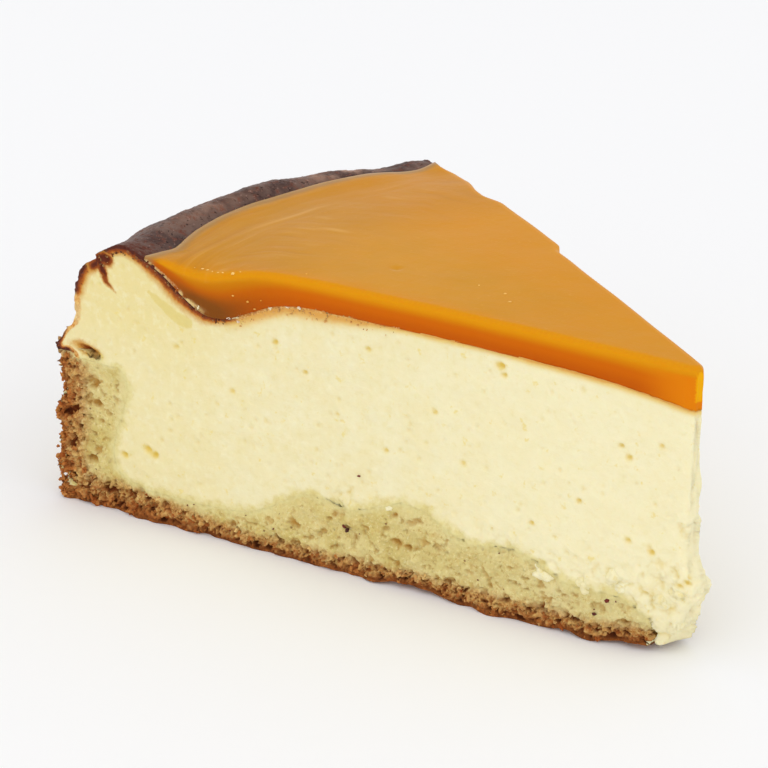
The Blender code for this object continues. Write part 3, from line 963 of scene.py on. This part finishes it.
def filling_relief(points, spun, depth, on_cut, under, burnt):
    radius, height, across = spun.T
    relief = cheese_relief(points, torn_share(radius, height)) * np.maximum(on_cut, 1 - step(radius, 6, 12))
    slant = np.column_stack([radius * 0.35 - height * 0.94, radius * 0.94 + height * 0.35, across * 9])
    relief += 0.07 * perlin(slant / np.array([1.2, 11.0, 1.0]) + 4.4) * on_cut
    hole = holes(points, radius, height, across)
    relief -= hole
    charred, _, own = cells(points, 1.0, 9)
    relief += burnt * (height > 40) * (0.6 * (own - 0.7) - 0.3 * charred)
    # The mesh ends a little below the crumb's surface, so the two run into each other
    relief -= 0.9 * step(under, 0.85, SOAK) * on_cut
    skin = 1 - depth / skin_thickness(radius)
    strong = skin_strength(radius)
    band = step(skin, -0.3, 0.3) * strong * on_cut
    crumbly, _, own = cells(points, 0.8, 7)
    relief += band * (0.1 + 0.35 * (own - 0.45) * (1 - 0.5 * crumbly))
    relief += 0.12 * band * fractal(points, 0.7, 3, 12)
    top = (1 - on_cut) * step(radius, 96, 108)
    edge = radius - np.interp(across, *EDGE_SHIFT)
    calm = 0.1 + 0.9 * step(edge, 111.2, 113.6)
    relief += 0.22 * fractal(points * np.array([1.0, 1.0, 1.6]), 4.5, 4, 5) * top * calm
    relief += 0.12 * fractal(points, 0.9, 3, 6) * top * calm
    pock, _, own = cells(points, 2.2, 6)
    relief -= 0.45 * bell(pock, 0.16) * (own > 0.6) * top * calm
    shown = on_cut + (radius > 107) * step(height, 30, 34) + (radius < FILLING_TIP + 3)
    return relief * np.clip(shown, 0, 1), hole


def filling_material():
    look = Look("baked cheese", 0.5, 0.08)
    strong, rim = look.mask("strong"), look.mask("rim")
    fine = look.noise(0.8, 4, 0.7)
    stain = look.ragged(look.mask("stained"), 0.5, 1.8, 4, 0.6)
    glassy = look.ragged(look.mask("glassy"), 1.4, 1.1, 4, 0.65)
    cream = look.layers(
        cream_colour(look),
        (look.between(look.mask("tinge"), 0.1, 0.9), (233, 196, 104), 0.85),
        (look.between(stain, 0.1, 0.85), (224, 166, 84)),
        (look.between(glassy, 0.0, 0.9), (226, 206, 120), 0.65),
        # Painted shade: the holes in the cut are coloured a deeper yellow.
        (look.mask("hole_shade"), (232, 200, 84), 0.8),
    )
    skin = look.ragged(look.mask("skin"), 0.8, 1.5, 4, 0.65)
    burnt = look.layers(
        look.mix(look.between(skin, 0.1, 0.45), (196, 116, 44), (144, 70, 28)),
        (look.between(skin, 0.5, 0.75), (88, 42, 32)),
        (look.patches(0.9, 3, 0.6, 0.58, 0.7), (122, 60, 30)),
        # Painted glints: grey-purple patches on the dark skin stand for its sheen.
        (look.patches(0.6, 3, 0.6, 0.62, 0.72), (96, 74, 74)),
    )
    weak = look.mix(look.between(fine, 0.4, 0.6), (206, 138, 64), (236, 190, 116))
    browned = look.times(look.between(skin, -0.1, 0.2), look.between(strong, 0.02, 0.35))
    scorch = look.ragged(look.mask("scorch"), 0.5, 1.2, 4, 0.65)
    top = look.layers(
        look.mix(look.patches(6.0, 4, 0.6, 0.35, 0.66), (70, 49, 45), (113, 89, 79)),
        (look.patches(1.4, 4, 0.7, 0.5, 0.66), (104, 56, 40)),
        (look.patches(0.7, 3, 0.7, 0.58, 0.7), (140, 112, 102)),
        (look.patches(0.9, 3, 0.6, 0.58, 0.68), (44, 26, 24)),
        # Painted sheen: paler pink-brown patches on the rim's top, most where its crest dips.
        (look.times(look.mask("light"), look.patches(5.0, 3, 0.55, 0.3, 0.6)), (190, 148, 124), 0.85),
        (look.times(look.mask("rust"), look.between(fine, 0.3, 0.6)), (92, 42, 26)),
    )
    back = look.mix(look.patches(2.4, 4, 0.6, 0.35, 0.7), (226, 190, 120), (190, 136, 66))
    wall = look.ragged(look.mask("wall"), 1.1, 5.5, 4, 0.6)
    outside = look.mask("outside")
    colour = look.layers(
        soaked_mix(look, crumb_colour(look), cream),
        (look.times(look.between(skin, -0.8, 0.05), look.between(strong, 0.3, 0.8)), (210, 152, 58), 0.85),
        (browned, look.mix(look.between(strong, 0.5, 0.8), weak, burnt)),
        (look.between(scorch, 0.06, 0.4), (206, 144, 60), 0.8),
        (look.between(scorch, 0.32, 0.6), (154, 78, 30)),
        (look.between(scorch, 0.62, 0.95), (98, 42, 26)),
        (rim, top),
        (outside, look.mix(look.between(wall, 0.35, 0.75), back, (98, 52, 30))),
    )
    gloss = look.times(look.math("MAXIMUM", rim, look.times(browned, 0.6)), 0.1)
    look.set("Roughness", look.math("SUBTRACT", 0.52, gloss))
    inner = look.math("SUBTRACT", 1.0, look.math("MAXIMUM", rim, outside), clamp=True)
    look.soft(look.times(inner, 0.25), (1.0, 0.8, 0.5), 1.0)
    return look.done(colour, (fine, 0.14), (look.noise(0.3, 2, 0.6), 0.05))


def make_filling():
    def upper_size(radius):
        return np.interp(radius, (100, 106), (2.6, 0.34))

    lines = filling_lines()
    spun, faces = layer_mesh(lines, 0.36, 0.38, 0.5, (2.6, 0.4, upper_size, 0.36))
    points = placed("filling", spun)
    normals = normals_of(points, faces)
    radius, height, across = spun.T
    outer, upper = lines[1:3]
    from_top = upper.distance(spun[:, :2])
    depth = np.minimum(from_top, outer.distance(spun[:, :2]))
    under = soaked_depth(radius, height)
    on_cut = on_either_cut(across).astype(float)
    burnt = scorched(radius, height) * (across < 1e-6)
    relief, hole = filling_relief(points, spun, depth, on_cut, under, burnt)
    points = points + normals * relief[:, None]
    points[:, 2] = np.maximum(points[:, 2], 0.0)
    strong = skin_strength(radius)
    on_side = np.where(radius > 119, 1 - 0.8 * (1 - step(height, 39, 44)), 1)
    ledge = step(radius, 124.4, 126.5) * bell(height - 32.3, 3.4)
    strong = np.maximum(strong * on_side, ledge)
    skin = np.maximum(1 - depth / skin_thickness(radius), 5.4 * ledge - 4.4)
    outside = (1 - on_cut) * step(radius, 119, 121.5) * (1 - step(height, 46.5, 48.5))
    rim = (1 - on_cut) * step(radius, 98, 101) * (1 - outside)
    masks = {
        "skin": np.clip(skin, -4, 1.5),
        "strong": strong,
        "stained": bell(from_top, 0.4 + 1.5 * step(radius, 56, 74)) * (1 - step(radius, 86, 93)),
        "tinge": bell(from_top, 1.1 + 1.6 * step(radius, 56, 74)) * (1 - step(radius, 90, 98)),
        "white": white_share(radius, height),
        "warm": warm_share(radius, height),
        # Painted shade inside the cut's holes.
        "hole_shade": np.clip(hole / 0.7, 0, 1),
        # Painted shade: the cut's hollows, by the relief's depth.
        "hollow_shade": np.clip((-relief - 0.1) / 0.5, 0, 1) * on_cut * step(-under, -1.0, 0.5),
        "wall": step(height, 33, 47) + 0.5 * bell(height - 33, 2.0),
        "outside": outside,
        "rim": rim,
        "rust": bell(across * SLICE_ANGLE * radius, 4.0) * rim,
        # Painted sheen on the rim's top, most where the crest dips.
        "light": (bell(across - 0.74, 0.09) + 0.35 * bell(across - 0.3, 0.12)) * rim * step(radius, 112, 115),
        "glassy": glassy_share(radius, height) * on_cut * (across < 0.5),
        "scorch": burnt,
        "under": np.clip(under, -6, 6),
        "rind": np.full_like(radius, 4.0),
    }
    piece = place("filling_cheese", points, faces, filling_material(), masks)
    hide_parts("filling")


# glaze


def strokes(points):
    """Marks of the spatula on the top: along the rim first, then turning in over the slice. The glaze's
    colour also paints sheen and shade along them.
    """
    out = np.hypot(points[:, 0], points[:, 1])
    along = STROKE_RADIUS * np.arctan2(points[:, 1], -points[:, 0])
    inward = STROKE_RADIUS - out + 1.6 * fractal(points, 17.0, 2, 31)
    curl = 8 * (1 - np.exp(-np.maximum(inward, 0) / 2.5))
    turned = along - 0.55 * inward - curl + 2.2 * fractal(points, 9.0, 2, 33)
    over = perlin(np.column_stack([turned / 3.1, inward / 11, np.full_like(out, 2.2)]))
    over = over + 0.45 * perlin(np.column_stack([turned / 1.1, inward / 7, np.full_like(out, 7.2)]))
    beside = perlin(np.column_stack([inward / 2.2, along / 21, np.full_like(out, 4.1)]))
    beside = beside + 0.4 * perlin(np.column_stack([inward / 0.8, along / 15, np.full_like(out, 8.1)]))
    share = step(inward + 0.12 * along, 2.0, 11.0)
    strength = (0.2 + 0.8 * step(out, 72, 97)) * (1 - 0.45 * step(along, -12, 14))
    return (beside + (over - beside) * share) * strength


def glaze_relief(points, spun, top, stroke_and_sheen):
    radius, height, across = spun.T
    soft = 0.14 * fractal(points, 14.0, 2, 7) * top
    soft += 0.07 * stroke_and_sheen * top
    soft -= 0.3 * bell(np.hypot(radius - 66.8, (across - 0.285) * SLICE_ANGLE * radius), 0.8) * top
    return soft + (1 - top) * 0.08 * fractal(points, 4.0, 3, 8)


def glaze_material():
    look = Look("set mango glaze", 0.28, 0.04)
    deep, shade, streak_sheen = look.mask("deep"), look.mask("shade"), look.mask("stroke_and_sheen")
    top = look.layers(
        look.mix(look.patches(16.0, 3, 0.5, 0.3, 0.7), (203, 140, 28), (210, 145, 38)),
        (look.mask("gold"), (214, 140, 22)),
        (shade, (168, 112, 34), 0.8),
        # Painted sheen and shade: the spatula marks are paler where they rise and darker where they sink.
        (look.between(streak_sheen, 0.15, 0.8), (224, 174, 96), 0.5),
        (look.between(streak_sheen, 0.0, -0.7), (186, 122, 36), 0.5),
        (look.patches(0.9, 3, 0.6, 0.6, 0.74), (226, 168, 70), 0.2),
    )
    # Painted light: the cut face is paler at its top and darker lower down, as if lit through the glaze from
    # above.
    front = look.layers(
        look.mix(look.between(deep, 0.02, 0.5), (218, 140, 10), (207, 103, 6)),
        (look.between(deep, 0.5, 0.95), (195, 90, 7)),
        (shade, (152, 74, 12), 0.75),
        (look.mask("tip"), (226, 128, 10)),
        (look.mask("dark"), (116, 72, 26), 0.75),
    )
    thin = look.ragged(look.mask("thin"), 0.5, 4.0, 3, 0.55)
    colour = look.layers(
        look.mix(look.between(deep, 0.0, 0.14), top, front),
        # Painted light: the lip is coloured bright yellow, as if lit through from the top.
        (look.mask("lip"), (226, 150, 10), 0.8),
        (look.mask("face"), (238, 172, 10)),
        (look.between(thin, 0.15, 0.9), (162, 122, 70), 0.85),
        # Painted highlight: a pale line along the glaze's edge on the rim.
        (look.mask("edge_glint"), (200, 166, 122), 0.7),
        # Painted highlight: pale patches along the glaze's lower edge on the cut.
        (look.times(look.mask("line"), look.patches(1.3, 3, 0.55, 0.35, 0.6)), (226, 196, 132)),
    )
    look.soft(0.2, (1.0, 0.45, 0.1), 1.5)
    return look.done(colour, (look.noise(7.0, 3, 0.5), 0.2), (look.noise(0.5, 2, 0.6), 0.02))


def glint_bead_material():
    look = Look("glaze bead", 0.15, 0.4)
    # Painted highlights: the beads are toned pale to stand for glints.
    return look.done(look.toned((224, 150, 34), (246, 200, 104)))


def make_beads():
    """Small bubbles and glints in the glaze: along its lip over the trough, and a few on its top. The glints
    are painted highlights, pale beads.
    """
    bits = Bits(2, 52)
    top_line = glaze_lines()[2].line.T
    for at, level, size in ((91.2, 49.6, 0.24), (88.3, 48.2, 0.22), (85.6, 48.8, 0.17), (86.9, 46.9, 0.17)):
        bits.add(on_near(at, level, 0.0, "glaze"), size, None, (1.3, 1.3, 0.7), 0.3)
    # Painted glints: pale beads along the lip and on the top.
    for at, across, size, tone in (
        (100.2, 0.02, 0.16, 0.5), (98.6, 0.023, 0.2, 0.9), (97.4, 0.022, 0.22, 1.0), (96.2, 0.018, 0.16, 0.7),
        (94.8, 0.014, 0.22, 0.9), (93.7, 0.013, 0.24, 1.0), (91.4, 0.008, 0.3, 1.0), (90.0, 0.012, 0.18, 0.8),
        (51.2, 0.388, 0.18, 1.0), (45.5, 0.398, 0.16, 0.8), (42.5, 0.325, 0.18, 0.9), (78.0, 0.05, 0.14, 0.8),
    ):
        level = np.interp(at, *top_line)
        spot = placed("glaze", np.array([[at, level, across]]))[0]
        bits.add(spot, size, tone, (1.4, 1.4, 0.6), 0.2)
    bits.place("glaze_beads", glint_bead_material(), "glaze")


def make_glaze():
    def upper_size(radius):
        return np.interp(radius, (70, 90), (0.6, 0.4))

    sizes = (3.0, 0.4, upper_size, 0.35)
    lines = glaze_lines()
    spun, faces = layer_mesh(lines, 0.36, 0.36, 0.42, sizes)
    points = placed("glaze", spun)
    normals = normals_of(points, faces)
    radius, height, across = spun.T
    upper = lines[2]
    below = upper.distance(spun[:, :2])
    thick = np.interp(radius, upper.line[:, 0], upper.line[:, 1]) - filling_top(radius)
    top = 1 - step(below, 0.05, 0.8)
    stroke_and_sheen = strokes(points)
    points = points + normals * glaze_relief(points, spun, top, stroke_and_sheen)[:, None]
    to_near = across * SLICE_ANGLE * radius
    to_far = (1 - across) * SLICE_ANGLE * radius
    deep = np.clip(below / np.maximum(thick, 1.0), 0, 1)
    on_cut = (to_near < 1e-6).astype(float)
    on_face = (radius < FILLING_TIP + 0.01).astype(float)
    spot = bell(np.hypot((radius - 98.2) / 5.0, (deep - 0.95) / 0.42), 1.0)
    low = bell(radius - 95, 7.5) * step(deep, 0.35, 0.95)
    masks = {
        # The spatula marks: they shape the top and also drive its painted sheen and shade.
        "stroke_and_sheen": stroke_and_sheen,
        "deep": deep,
        "gold": np.maximum.reduce([bell(to_near, 3.0), bell(to_far, 2.2), 0.7 * step(across, 0.4, 0.8),
                                   0.6 * (1 - step(radius, 25, 55))]) * step(thick, 1.5, 3.5),
        "thin": 1 - step(thick, 0.6, 3.0),
        # Painted highlight where the glaze's edge meets the rim.
        "edge_glint": bell(radius - GLAZE_EDGE_RADIUS, 0.8) * top,
        "shade": step(radius, 74, 92) * (0.3 + 0.7 * low),
        "dark": np.clip(spot * on_cut + 0.6 * low * on_cut, 0, 1),
        "tip": (1 - step(radius, 4, 14)) * step(below, 0.3, 1.5),
        "face": on_face * step(below, 0.1, 0.6) * (1 - 0.4 * step(deep, 0.6, 1.0)),
        # Painted light along the lip.
        "lip": bell(np.minimum(to_near, to_far), 1.0) * bell(below, 0.75) * step(thick, 1.5, 3.5),
        # Painted highlight along the glaze's lower edge on the cut.
        "line": on_cut * step(deep, 0.86, 0.97) * step(radius, 96, 100),
    }
    piece = place("glaze_mango", points, faces, glaze_material(), masks)
    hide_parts("glaze")


# crumbs


def ball(subdivisions):
    """Points and triangles of a unit ball."""
    made = bmesh.new()
    bmesh.ops.create_icosphere(made, subdivisions=subdivisions, radius=1.0)
    points = np.array([vertex.co[:] for vertex in made.verts])
    faces = np.array([[vertex.index for vertex in face.verts] for face in made.faces])
    made.free()
    return points, faces


class Bits:
    """Many small lumps gathered in one mesh."""

    def __init__(self, subdivisions, seed):
        self.ball, self.faces = ball(subdivisions)
        self.random = np.random.default_rng(seed)
        self.points, self.triangles, self.tones = [], [], []
        self.total = 0

    def add(self, centre, size, tone=None, stretch=(1, 1, 1), rough=0.6):
        turn = np.linalg.qr(self.random.normal(size=(3, 3)))[0]
        uneven = perlin(self.ball * 1.3 + self.random.uniform(0, 50, 3))
        uneven = uneven + 0.7 * perlin(self.ball * 2.9 + self.random.uniform(0, 50, 3))
        shape = self.ball * (1 + rough * 1.6 * uneven)[:, None]
        shape = (shape * self.random.uniform(0.6, 1.3, 3)) @ turn
        self.points.append(np.asarray(centre) + shape * np.asarray(stretch) * size)
        self.triangles.append(self.faces + self.total)
        self.total += len(self.ball)
        tone = self.random.uniform(0, 1) if tone is None else tone
        self.tones.append(np.full(len(self.ball), tone))

    def place(self, name, material, slot, smooth=True):
        points = np.vstack(self.points)
        points[:, 2] = np.maximum(points[:, 2], 0.02)
        masks = {"tone": np.concatenate(self.tones)}
        place(name, points, np.vstack(self.triangles), material, masks, smooth)


def on_near(radius, height, out=0.0, layer="filling"):
    """A place on the near cut, out from it by the given distance."""
    spun = np.array([[radius, height, 0.0]])
    point = placed(layer, spun)[0]
    return point + out * np.array([math.sin(HALF), -math.cos(HALF), 0.0])


def crumb_material():
    look = Look("loose crumb", 0.8, 0.08)
    colour = look.layers(
        look.toned((168, 92, 42), (200, 138, 74), 0.0, 0.5),
        (look.between(look.mask("tone"), 0.5, 1.0, False), (230, 196, 128)),
        (look.patches(0.8, 3, 0.6, 0.5, 0.7), (146, 76, 32)),
    )
    return look.done(colour, (look.noise(0.4, 3, 0.7), 0.2))


def make_crumbs(points, normals, spun, rind):
    radius, height, across = spun.T
    random = np.random.default_rng(11)
    bits = Bits(2, 12)
    on_side = on_either_cut(across) | (radius > 126)
    fit = np.where(on_side & (rind < 2.2) & (height > 0.4))[0]
    for i in random.choice(fit, LOOSE_CRUMBS, replace=False):
        size = 0.14 + 0.3 * random.uniform() ** 2
        tone = np.clip(0.1 + 0.33 * rind[i] + random.normal() * 0.25, 0, 1)
        bits.add(points[i] + normals[i] * size * 0.1, size, tone, rough=1.0)
    clusters = (
        (130.2, 8.8, 1.6, 44), (130.4, 2.0, 1.6, 44), (129.9, 5.2, 1.2, 14), (130.0, 13.5, 1.0, 14),
        (129.6, 17.0, 1.2, 14), (129.6, 20.5, 1.2, 14), (129.4, 25.0, 1.2, 14), (128.6, 28.6, 1.2, 16),
    )
    for at, level, spread, count in clusters:
        for _ in range(count):
            off = random.normal(size=2) * spread * 0.42
            spot = (min(at + off[0], 131.6), max(0.4, level + off[1]))
            where = on_near(*spot, random.uniform(-1.8, 0.3), "crust")
            bits.add(where, 0.18 + 0.32 * random.uniform(), random.uniform(0.0, 0.6), rough=1.0)
    for at, level, size, tone in ((122.7, 0.8, 0.8, 0.05), (123.3, 1.4, 0.6, 0.1), (122.2, 0.7, 0.5, 0.3)):
        bits.add(on_near(at, level, 0.35, "crust"), size, tone)
    bits.place("crust_crumbs", crumb_material(), "crust", False)


def curd_and_glint_material():
    look = Look("torn cheese", 0.5, 0.1)
    colour = look.layers(
        look.toned((247, 240, 202), (243, 231, 180), 0.0, 0.5),
        (look.patches(0.9, 3, 0.6, 0.5, 0.7), (240, 226, 166)),
        # The palest, pinkish tone is for the painted highlight beads.
        (look.between(look.mask("tone"), 0.8, 1.0, False), (244, 222, 200)),
    )
    return look.done(colour, (look.noise(0.5, 3, 0.6), 0.1))


def make_curds_and_glints():
    """Curds and smears that the knife left along the cut, mostly by the tip, and pale beads of painted
    highlight between the skin and the glaze.
    """
    random = np.random.default_rng(21)
    bits = Bits(3, 22)
    spots = (
        (28.4, 10.4, 0.5, 2, 1.6), (21.7, 10.4, 0.5, 2, 1.5), (13.0, 11.5, 2.0, 2, 1.4),
        (7.0, 10.0, 2.0, 2, 1.5), (4.8, 6.0, 1.2, 2, 1.3), (4.6, 12.5, 1.2, 1, 1.3),
        (60.0, 15.2, 1.2, 1, 0.8),
    )
    for at, level, spread, count, size in spots:
        for _ in range(count):
            off = random.normal(size=2) * spread * 0.6
            big = size * random.uniform(0.6, 1.25)
            where = on_near(max(3.4, at + off[0]), max(0.9, level + off[1]), -0.72 * big)
            bits.add(where, big, random.uniform(0.0, 0.5), (1.1, 1.1, 0.9), 0.25)
    # Pale, slightly pink beads between the skin and the glaze: painted highlights, the glints on the cut
    # shown as small lumps
    for at, level, size in (
        (99.5, 45.1, 0.35), (98.9, 44.8, 0.5), (98.3, 44.6, 0.4), (96.9, 44.0, 0.4), (96.2, 43.9, 0.45),
        (95.4, 43.8, 0.4), (94.6, 43.8, 0.3), (93.2, 44.1, 0.45), (92.5, 44.2, 0.45), (91.7, 44.2, 0.3),
        (90.9, 44.5, 0.4), (90.4, 45.1, 0.4), (89.9, 45.3, 0.3), (90.6, 43.7, 0.3), (101.6, 46.4, 0.25),
        (103.2, 47.4, 0.2), (88.0, 46.1, 0.3), (84.0, 47.6, 0.3), (80.5, 48.4, 0.3), (78.0, 48.8, 0.35),
    ):
        bits.add(on_near(at, level, 0.1), size, random.uniform(0.85, 1), (1.2, 1.0, 0.8))
    bits.place("curds_and_glints", curd_and_glint_material(), "filling")


def flake_material():
    look = Look("baked skin flake", 0.5, 0.08)
    colour = look.toned((84, 42, 32), (240, 190, 116))
    colour = look.mix(look.patches(0.6, 3, 0.6, 0.5, 0.7), colour, (190, 112, 60))
    return look.done(colour, (look.noise(0.4, 3, 0.6), 0.1))


def make_skin_flakes():
    """Crumbs of the browned skin along the top of the cut, under the glaze and round the rim."""
    random = np.random.default_rng(31)
    bits = Bits(1, 32)
    for _ in range(SKIN_FLAKES):
        at = random.uniform(72, 91) if random.uniform() < 0.7 else random.uniform(58, 72)
        level = filling_top(at) - 2.2 * random.uniform() ** 2
        where = on_near(at, level, random.uniform(-0.04, 0.06))
        bits.add(where, random.uniform(0.1, 0.22), random.uniform(0.45, 1))
    for _ in range(RIM_FLAKES):
        at = random.uniform(92, 118)
        level = filling_top(min(at, CREST_RADIUS)) - max(0, at - CREST_RADIUS) * 0.5
        level -= random.uniform(0.4, 1.3)
        where = on_near(at, level, random.uniform(-0.15, 0.1))
        bits.add(where, random.uniform(0.12, 0.3), random.uniform(0, 0.5) ** 1.4)
    for _ in range(CRACK_FLAKES):
        off = np.clip(random.normal(size=2) * 0.7, -1.2, 1.2)
        bits.add(on_near(120.0 + off[0], 49.3 + min(off[1], 0.6), -0.4), 0.32, random.uniform(0, 0.4))
    for at, level, size, tone in (
        (126.5, 32.7, 0.9, 0.0), (126.6, 32.1, 0.8, 0.0), (126.5, 31.6, 0.7, 0.0), (126.5, 33.4, 0.6, 0.4),
        (126.4, 34.0, 0.6, 0.45), (126.3, 34.6, 0.5, 0.4),
    ):
        bits.add(on_near(at, level, -0.5), size, tone)
    bits.place("skin_flakes", flake_material(), "filling")


def speck_material():
    look = Look("dark speck", 0.6, 0.3)
    return look.done(look.toned((58, 26, 22), (124, 44, 34)), (look.noise(0.4, 2, 0.5), 0.05))


def make_specks():
    """Dark specks baked into the crumb, and one in the cheese."""
    random = np.random.default_rng(41)
    bits = Bits(1, 42)
    for at, level, size in (
        (65.4, 19.8, 0.34), (68.3, 9.4, 0.55), (67.6, 8.8, 0.4), (83.1, 5.2, 0.5), (16.5, 8.3, 0.5),
        (18.7, 5.4, 0.45),
    ):
        bits.add(on_near(at, level, 0.1), size, random.uniform(0, 1))
    for _ in range(SMALL_SPECKS):
        at = random.uniform(10, 118)
        level = random.uniform(1.5, max(2.0, base_top(at, 0) - 0.8))
        bits.add(on_near(at, level, -0.05), random.uniform(0.12, 0.24), random.uniform(0.5, 1))
    bits.place("dark_specks", speck_material(), "crust")


# stage


def make_floor():
    bpy.ops.mesh.primitive_plane_add(size=FLOOR_SIZE)
    floor = bpy.context.object
    floor.name = "floor"
    look = Look("pale floor", 0.9, 0.1)
    look.set("Base Color", FLOOR_COLOUR)
    floor.data.materials.append(look.material)


def stand(name, data, azimuth, elevation, distance, aim=(0, 0, 0)):
    """Stands a lamp or the camera round the slice, angles in radians, looking at the aim."""
    piece = bpy.data.objects.new(name, data)
    across = math.cos(elevation)
    back = Vector((math.sin(azimuth) * across, -math.cos(azimuth) * across, math.sin(elevation)))
    piece.location = Vector(aim) + back * distance
    piece.rotation_euler = back.to_track_quat("Z", "Y").to_euler()
    bpy.context.scene.collection.objects.link(piece)
    return piece


def make_lights():
    world = bpy.data.worlds.new("white room")
    bpy.context.scene.world = world
    world.use_nodes = True
    background = world.node_tree.nodes["Background"]
    background.inputs["Color"].default_value = (1, 1, 1, 1)
    background.inputs["Strength"].default_value = ROOM_LIGHT
    for name, azimuth, elevation, power in LAMPS:
        data = bpy.data.lights.new(name, "AREA")
        data.shape = "DISK"
        data.size = LAMP_SIZE
        data.energy = power
        stand(name, data, math.radians(azimuth), math.radians(elevation), LAMP_DISTANCE)


def make_camera():
    data = bpy.data.cameras.new("camera")
    data.lens = LENS
    data.sensor_width = 36
    data.clip_start = 0.01
    aim = Vector(AIM) * MM
    bpy.context.scene.camera = stand("camera", data, AZIMUTH, ELEVATION, DISTANCE * MM, aim)


bpy.context.scene.view_settings.view_transform = "Standard"
make_camera()
make_floor()
make_lights()
crust = make_crust()
make_filling()
make_glaze()
make_crumbs(*crust)
make_curds_and_glints()
make_skin_flakes()
make_specks()
make_beads()
